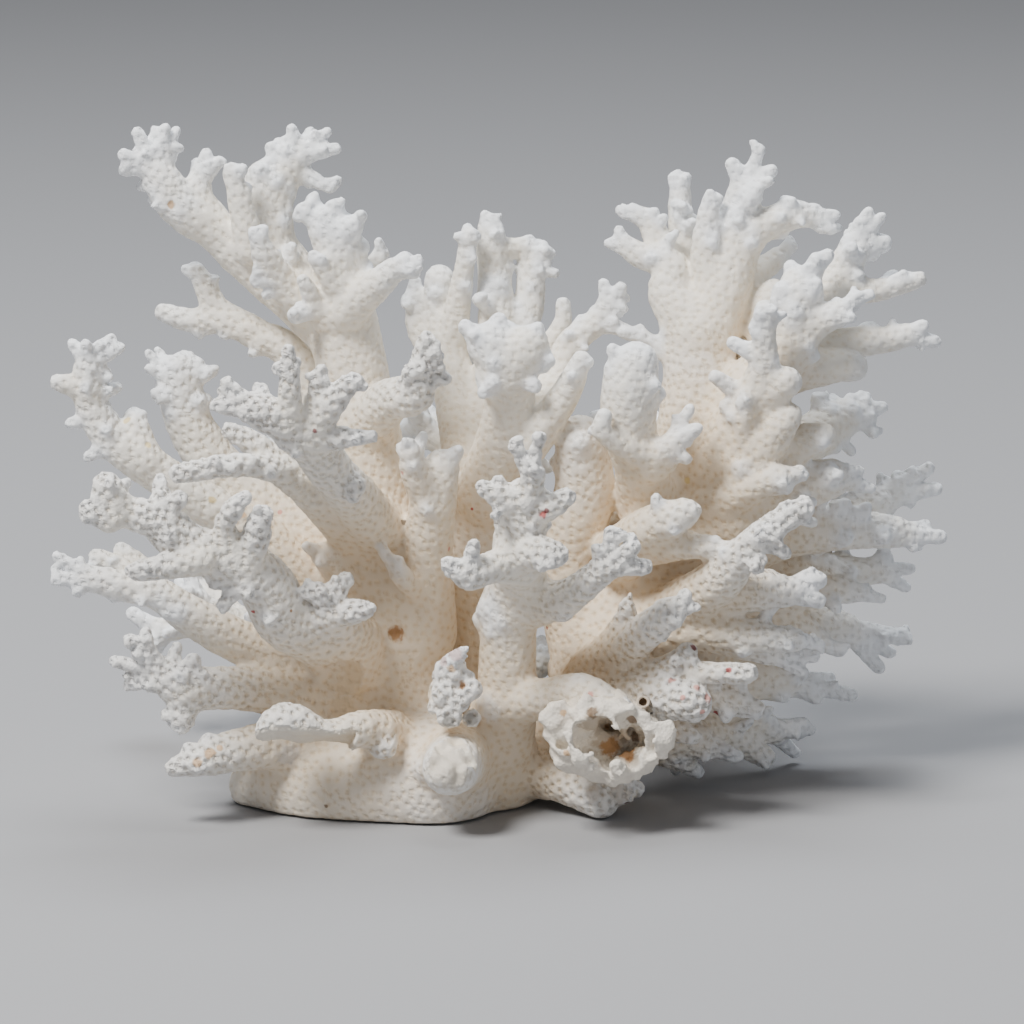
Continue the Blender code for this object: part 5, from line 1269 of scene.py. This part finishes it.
def ragged_spot_group():
    """A ragged spot around a point: 1 in its middle, 0 outside."""
    group = bpy.data.node_groups.new("ragged spot", "ShaderNodeTree")
    group.interface.new_socket("Centre", in_out="INPUT", socket_type="NodeSocketVector")
    group.interface.new_socket("Radius", in_out="INPUT", socket_type="NodeSocketFloat")
    group.interface.new_socket("Spot", in_out="OUTPUT", socket_type="NodeSocketFloat")
    given = group.nodes.new("NodeGroupInput")
    result = group.nodes.new("NodeGroupOutput")
    here = linked_node(group, "ShaderNodeTexCoord").outputs["Object"]
    gap = linked_node(group, "ShaderNodeVectorMath", {0: here, 1: given.outputs["Centre"]},
                      operation="DISTANCE")
    ragged = linked_node(group, "ShaderNodeTexNoise",
                         {"Vector": here, "Scale": MARK_RAGGED_SCALE, "Detail": 4}).outputs[0]
    share = shader_math(group, "DIVIDE", gap.outputs["Value"], given.outputs["Radius"])
    centred = shader_math(group, "SUBTRACT", share, MARK_RAGGED / 2)
    share = shader_math(group, "MULTIPLY_ADD", ragged, MARK_RAGGED, centred)
    spot = shader_math(group, "SUBTRACT", 1.0, ramp(group, share, *MARK_EDGE))
    group.links.new(spot, result.inputs["Spot"])
    return group


ragged_spots = ragged_spot_group()
CLOUD_SCALE = 70
PATCH_SCALE = 260
GRIT_SCALE = 2600
PORE_SCALE = 1500
PAINTED_SHADE_RAMP = (0.10, 0.36)
PAINTED_SHADE_CLOUDS = 0.12
FRESH_RAMP = (0.25, 0.8)
FRESH_PATCHES = 0.4
FRESH_INSIDE = -0.6
FRESH_ON_BREAKS = -0.85
GREY_AGES = (0.3, 1.0)
GREY_PATCHES = (0.25, 0.75)
GREY_SHARE = 0.75
CHALK_AGES = (0.35, 1.0)
CHALK_SHARE = 0.75
WALL_WHITE_SHARE = 0.22
CUP_PAINTED_SHADE_ON_OLD = (0.24, 0.16)
CUP_PAINTED_SHADE_INSIDE = 0.42
CUP_PAINTED_SHADE_ON_FRESH = -0.7
CUP_SHADES = (0.3, 0.7)
MATT = (0.2, 0.66)
GRIT_HEIGHT = 0.00005
PORE_HEIGHTS = (0.00014, 0.00004)
CUP_DEPTHS = (0.00022, 0.00003)
CREST_HEIGHTS = (0.00030, 0.00015)
BUMP_STRENGTH = 0.9


def bone_finish(name, marks=()):
    """The finish of every piece. A mark is (centre, radius, colour)."""
    material = bpy.data.materials.new(name)
    material.use_nodes = True
    tree = material.node_tree
    surface = tree.nodes["Principled BSDF"]

    def seen(attribute):
        return linked_node(tree, "ShaderNodeAttribute", attribute_name=attribute).outputs["Fac"]

    age, tip, depth = seen("age"), seen("tip"), seen("depth")
    here = linked_node(tree, "ShaderNodeTexCoord").outputs["Object"]
    cup = linked_node(tree, "ShaderNodeGroup", node_tree=cups)

    def noise(scale, detail):
        inputs = {"Vector": here, "Scale": scale, "Detail": detail}
        return linked_node(tree, "ShaderNodeTexNoise", inputs).outputs[0]

    cloud, patch, grit = noise(CLOUD_SCALE, 3), noise(PATCH_SCALE, 4), noise(GRIT_SCALE, 3)

    # Painted shade: the deeper inside the colony a place lies, the more its cream turns beige.
    cloudy = shader_math(tree, "MULTIPLY_ADD", shader_math(tree, "SUBTRACT", cloud, 0.5), PAINTED_SHADE_CLOUDS, depth)
    inner = ramp(tree, cloudy, *PAINTED_SHADE_RAMP)
    colour = mixed(tree, inner, STEM_CREAM, PAINTED_SHADE_BEIGE)
    # Fresh tips turn white with a tint of painted cool light; less so where the painted shade falls inside,
    # and on breaks.
    patchy = shader_math(tree, "MULTIPLY_ADD", shader_math(tree, "SUBTRACT", patch, 0.5), FRESH_PATCHES, tip)
    fresh = ramp(tree, patchy, *FRESH_RAMP)
    for sheltered, share in ((inner, FRESH_INSIDE), (seen("bare"), FRESH_ON_BREAKS)):
        fresh = shader_math(tree, "MULTIPLY", fresh, shader_math(tree, "MULTIPLY_ADD", sheltered, share, 1.0))
    colour = mixed(tree, fresh, colour, TIP_WHITE_AND_COOL_LIGHT)
    greyed = shader_math(tree, "MULTIPLY", ramp(tree, age, *GREY_AGES), ramp(tree, patch, *GREY_PATCHES))
    colour = mixed(tree, shader_math(tree, "MULTIPLY", greyed, GREY_SHARE), colour, OLD_GREY)
    chalky = shader_math(tree, "MULTIPLY", ramp(tree, age, *CHALK_AGES), cup.outputs["Wall"])
    colour = mixed(tree, shader_math(tree, "MULTIPLY", chalky, CHALK_SHARE), colour, CHALK)
    whitened = shader_math(tree, "MULTIPLY", cup.outputs["Wall"], WALL_WHITE_SHARE)
    colour = mixed(tree, whitened, colour, TIP_WHITE_AND_COOL_LIGHT)
    # Painted shade in the cups: stronger on old branches and deep inside the colony, weaker on the fresh
    # tips.
    worn = shader_math(tree, "MULTIPLY_ADD", age, *CUP_PAINTED_SHADE_ON_OLD)
    shown = shader_math(tree, "MULTIPLY_ADD", inner, CUP_PAINTED_SHADE_INSIDE, worn)
    shown = shader_math(tree, "MULTIPLY", shown, shader_math(tree, "MULTIPLY_ADD", fresh, CUP_PAINTED_SHADE_ON_FRESH, 1.0))
    dotted = shader_math(tree, "MULTIPLY", cup.outputs["Cup"], shown)
    dotted = shader_math(tree, "MULTIPLY", dotted, ramp(tree, cup.outputs["Shade"], *CUP_SHADES))
    colour = mixed(tree, dotted, colour, CUP_PAINTED_SHADE)
    for centre, radius, tint in marks:
        spot = linked_node(tree, "ShaderNodeGroup", node_tree=ragged_spots)
        spot.inputs["Centre"].default_value = centre
        spot.inputs["Radius"].default_value = radius
        share = shader_math(tree, "MULTIPLY", spot.outputs["Spot"], MARK_STRENGTH)
        colour = mixed(tree, share, colour, tint)
    tree.links.new(colour, surface.inputs["Base Color"])
    tree.links.new(shader_math(tree, "MULTIPLY_ADD", grit, *MATT), surface.inputs["Roughness"])

    raised = shader_math(tree, "MULTIPLY", grit, GRIT_HEIGHT)
    pore = linked_node(tree, "ShaderNodeTexVoronoi", {"Vector": here, "Scale": PORE_SCALE})
    strong = shader_math(tree, "MULTIPLY_ADD", age, *PORE_HEIGHTS)
    raised = shader_math(tree, "MULTIPLY_ADD", pore.outputs["Distance"], strong, raised)
    deep = shader_math(tree, "MULTIPLY_ADD", age, *CUP_DEPTHS)
    sunk = shader_math(tree, "MULTIPLY", cup.outputs["Cup"], deep)
    raised = shader_math(tree, "SUBTRACT", raised, sunk)
    crest = shader_math(tree, "MULTIPLY_ADD", age, *CREST_HEIGHTS)
    raised = shader_math(tree, "MULTIPLY_ADD", cup.outputs["Wall"], crest, raised)
    bump = linked_node(tree, "ShaderNodeBump", {"Height": raised, "Strength": BUMP_STRENGTH, "Distance": 1.0})
    tree.links.new(bump.outputs[0], surface.inputs["Normal"])
    return material


bone = bone_finish("bone")
whole_mesh = mesh_of("skin", spots, quads, 4)
whole_mesh.shade_smooth()
add_numbers(whole_mesh, "age", point_age)
add_numbers(whole_mesh, "bare", bare)
whole = bpy.data.objects.new("skin", whole_mesh)
bpy.context.scene.collection.objects.link(whole)
tree, sockets = corallite_tree()
press = whole.modifiers.new("Corallites", "NODES")
press.node_group = tree
for socket_name, value in (("Gap between corallites", CORALLITE_GAP), ("Half width", CORALLITE_HALF),
                           ("Honeycomb depth", HONEYCOMB_DEPTH), ("Flush depth", FLUSH_DEPTH),
                           ("Grain size", GRAIN_SIZE), ("Grain height", GRAIN_HEIGHT),
                           ("Lump size", LUMP_SIZE), ("Lump height", LUMP_HEIGHT),
                           ("Seed", SCATTER_SEED), ("Finish", bone)):
    press[sockets[socket_name]] = value
graph = bpy.context.evaluated_depsgraph_get()
pressed_mesh = bpy.data.meshes.new_from_object(whole.evaluated_get(graph))
count = len(pressed_mesh.vertices)
spots = np.empty(count * 3, np.float32)
pressed_mesh.vertices.foreach_get("co", spots)
spots = spots.reshape(-1, 3)
spots = np.clip(spots, solid_box[0], solid_box[1]).astype(np.float32)
pressed_mesh.vertices.foreach_set("co", spots.ravel())
pressed_mesh.update()
normals = np.empty(count * 3, np.float32)
pressed_mesh.vertex_normals.foreach_get("vector", normals)
normals = normals.reshape(-1, 3)
centres = np.empty(count * 3, np.float32)
pressed_mesh.attributes["corallite"].data.foreach_get("vector", centres)
centres = centres.reshape(-1, 3)
reaches = np.empty(count, np.float32)
pressed_mesh.attributes["reach"].data.foreach_get("value", reaches)
bpy.data.objects.remove(whole)


# Stains and painted shade
# Small marks on the bleached skeleton: red, pink and violet spots of old growth, tan and yellow patches,
# tan and dark brown patches in the crust, and painted shade in the alcove, the empty barnacle cups and on the
# broken stub's face. Each is (across, down, radius, colour), found on the skin by looking there.
BRIGHT_RED = (0.42, 0.03, 0.03, 1)
DARK_RED = (0.20, 0.03, 0.03, 1)
PINK = (0.62, 0.27, 0.22, 1)
TAN = (0.60, 0.38, 0.20, 1)
RUST = (0.36, 0.17, 0.05, 1)
DARK_BROWN = (0.20, 0.12, 0.06, 1)
HOLLOW_TAN = (0.46, 0.37, 0.27, 1)
STUB_PAINTED_SHADE = (0.60, 0.54, 0.45, 1)
YELLOW = (0.72, 0.56, 0.26, 1)
SHELL_VIOLET = (0.56, 0.42, 0.40, 1)
BARNACLE_CUP_PAINTED_SHADE = (0.30, 0.28, 0.25, 1)
STAINS_AND_PAINTED_SHADE = (
    (108.6, 103.0, 1.0, BRIGHT_RED), (109.4, 102.2, 0.6, DARK_RED), (50.6, 122.4, 0.5, BRIGHT_RED),
    (139.4, 137.4, 1.0, PINK), (141.8, 139.4, 1.2, PINK), (143.2, 142.6, 0.8, BRIGHT_RED),
    (136.6, 139.4, 0.7, PINK), (140.4, 142.4, 0.7, PINK), (134.4, 136.0, 0.9, PINK),
    (138.6, 129.6, 0.9, DARK_RED), (145.8, 134.0, 0.7, BRIGHT_RED), (118.0, 139.0, 0.8, PINK),
    (56.0, 102.4, 0.6, PINK), (80.4, 94.6, 0.6, PINK), (89.8, 109.8, 0.5, PINK),
    (94.4, 101.8, 0.35, BRIGHT_RED), (109.4, 125.6, 0.45, DARK_RED), (125.4, 160.6, 0.8, DARK_RED),
    (63.0, 86.2, 0.6, DARK_RED), (58.2, 122.2, 0.45, RUST), (42.0, 150.6, 1.3, TAN),
    (39.4, 152.4, 1.2, TAN), (44.0, 149.6, 0.8, TAN), (25.4, 84.0, 0.9, YELLOW),
    (29.6, 89.0, 0.8, YELLOW), (42.4, 100.0, 0.9, YELLOW), (137.4, 96.0, 0.8, YELLOW),
    (79.2, 126.8, 2.1, RUST), (48.6, 103.0, 0.9, TAN), (34.2, 41.0, 1.0, TAN),
    # Tan and dark brown patches in the crust's hollow, the dark brown ones along the edge of its opening.
    (65.2, 161.2, 0.5, DARK_BROWN), (122.0, 147.0, 5.4, HOLLOW_TAN), (126.0, 147.6, 4.0, HOLLOW_TAN),
    (118.6, 145.0, 3.4, HOLLOW_TAN), (122.0, 149.2, 2.2, RUST), (125.4, 150.6, 2.2, RUST),
    (127.4, 147.4, 1.5, DARK_BROWN), (118.4, 142.6, 1.3, DARK_BROWN), (126.6, 143.8, 1.4, DARK_BROWN),
    (112.6, 142.6, 0.8, TAN), (121.0, 145.0, 1.2, TAN), (113.4, 150.6, 0.8, TAN),
    (91.0, 130.6, 1.8, SHELL_VIOLET), (88.8, 132.4, 1.2, SHELL_VIOLET), (90.2, 133.8, 1.0, TAN),
    # Painted shade: dark grey in the barnacles' empty cups.
    (92.6, 137.2, 1.1, RUST), (89.8, 144.2, 1.5, BARNACLE_CUP_PAINTED_SHADE), (94.2, 144.0, 1.6, BARNACLE_CUP_PAINTED_SHADE),
    # Painted shade: beige painted into the alcove.
    (69.6, 138.6, 4.6, PAINTED_SHADE_BEIGE), (70.8, 134.2, 3.0, PAINTED_SHADE_BEIGE), (68.6, 141.8, 3.0, PAINTED_SHADE_BEIGE),
    # Painted shade: greyish beige on the stub's broken face, in the tone of the skeleton around it.
    (89.6, 153.4, 6.0, STUB_PAINTED_SHADE), (118.4, 158.6, 2.6, OLD_GREY), (124.0, 158.8, 3.0, OLD_GREY),
    (57.6, 151.0, 3.0, OLD_GREY))
OWNER_ROUNDS = 5
face_owner = np.sort(point_owner[quads], axis=1)[:, 1]
for turn in range(OWNER_ROUNDS):
    keys, votes = np.unique(quads.ravel() * len(names) + np.repeat(face_owner, 4), return_counts=True)
    order = np.lexsort((votes, keys // len(names)))
    winners = keys[order]
    last = np.append(np.diff(winners // len(names)) > 0, True)
    point_owner[winners[last] // len(names)] = winners[last] % len(names)
    face_owner = np.sort(point_owner[quads], axis=1)[:, 1]
seen_skin = BVHTree.FromPolygons(spots.tolist(), quads.tolist())
marked = {}
for across, down, radius, colour in STAINS_AND_PAINTED_SHADE:
    spot, _, face, _ = seen_skin.ray_cast(Vector(eye), Vector(sheet_ray(across, down)))
    if spot is not None:
        marked.setdefault(names[face_owner[face]], []).append((spot, radius * MILLIMETRE, colour))


# One piece for each limb
# The skeleton is one growth, parted here at the same forks as the solids. Each piece is closed across its
# joint by a cap, which dives in rings under the skin before it crosses the branch.
def openings(faces, spots):
    """The rims where a piece meets its neighbours, each as its list of edges."""
    edges = np.concatenate([faces[:, [step, (step + 1) % 4]] for step in range(4)])
    keys = edges[:, 0] * len(spots) + edges[:, 1]
    twins = edges[:, 1] * len(spots) + edges[:, 0]
    rim = edges[~np.isin(keys, twins)]
    parent = {int(point): int(point) for point in np.unique(rim)}

    def root(point):
        while parent[point] != point:
            parent[point] = parent[parent[point]]
            point = parent[point]
        return point

    for a, b in rim.tolist():
        parent[root(a)] = root(b)
    loops = {}
    for a, b in rim.tolist():
        loops.setdefault(root(a), []).append((a, b))
    return loops


INSIDE_AGE = 0.2
INSIDE_TIP = 0.2
INSIDE_DEPTH = 0.5
INWARD_STEP = 0.0003
RING_ROUNDS = (3, 9)
MIDDLE_ROUNDS = 22
SLOPE_STEP = 0.5


def drawn_in(places, rounds):
    """The places moved down the slope of the skin's distance, toward the middle of the branch."""
    for turn in range(rounds):
        at = (places - corner) / CELL
        slope = np.stack([sampled(skin, at + SLOPE_STEP * way) - sampled(skin, at - SLOPE_STEP * way)
                          for way in np.eye(3)], axis=1)
        places = places - INWARD_STEP * slope / np.maximum(np.linalg.norm(slope, axis=1), 1e-6)[:, None]
    return places


for number, name in enumerate(names):
    faces = quads[face_owner == number]
    used, local = np.unique(faces, return_inverse=True)
    faces = local.reshape(-1, 4)
    loops = openings(faces, used)
    triangles = np.concatenate([faces[:, [0, 1, 2]], faces[:, [0, 2, 3]]])
    places = spots[used]
    added, bands, extra = [], [], 0
    for loop in loops.values():
        loop = np.array(loop)
        rim = np.unique(loop)
        first, second = loop[:, 0], loop[:, 1]
        ring = places[rim]
        for rounds in RING_ROUNDS:
            ring = drawn_in(ring, rounds)
            start = len(used) + extra
            inner_first, inner_second = start + np.searchsorted(rim, loop).T
            bands.append(np.column_stack([second, first, inner_first]))
            bands.append(np.column_stack([second, inner_first, inner_second]))
            first, second = inner_first, inner_second
            added.append(ring)
            extra += len(ring)
        added.append(drawn_in(ring.mean(0)[None], MIDDLE_ROUNDS))
        bands.append(np.column_stack([second, first, np.full(len(loop), len(used) + extra)]))
        extra += 1
    if extra:
        places = np.concatenate([places] + added).astype(np.float32)
        triangles = np.concatenate([triangles] + bands)
    piece_mesh = mesh_of(name, places, triangles, 3)
    piece_mesh.shade_smooth()

    def with_extra(values, filler):
        return np.concatenate([values[used], np.full((extra,) + values.shape[1:], filler, np.float32)])

    add_numbers(piece_mesh, "age", with_extra(point_age, INSIDE_AGE))
    add_numbers(piece_mesh, "tip", with_extra(point_tip, INSIDE_TIP))
    add_numbers(piece_mesh, "depth", with_extra(depth, INSIDE_DEPTH))
    add_numbers(piece_mesh, "reach", with_extra(reaches, CORALLITE_HALF))
    add_numbers(piece_mesh, "bare", with_extra(bare, 0.0))
    layer = piece_mesh.attributes.new("corallite", "FLOAT_VECTOR", "POINT")
    layer.data.foreach_set("vector", with_extra(centres, 0.0).astype(np.float32).ravel())
    piece_mesh.normals_split_custom_set_from_vertices(with_extra(normals, 1 / math.sqrt(3)))
    piece_mesh.materials.append(bone_finish("bone, stained", marked[name]) if name in marked else bone)
    piece = bpy.data.objects.new(name + "_skin", piece_mesh)
    bpy.context.scene.collection.objects.link(piece)
    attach(piece, "root")
    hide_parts(name)
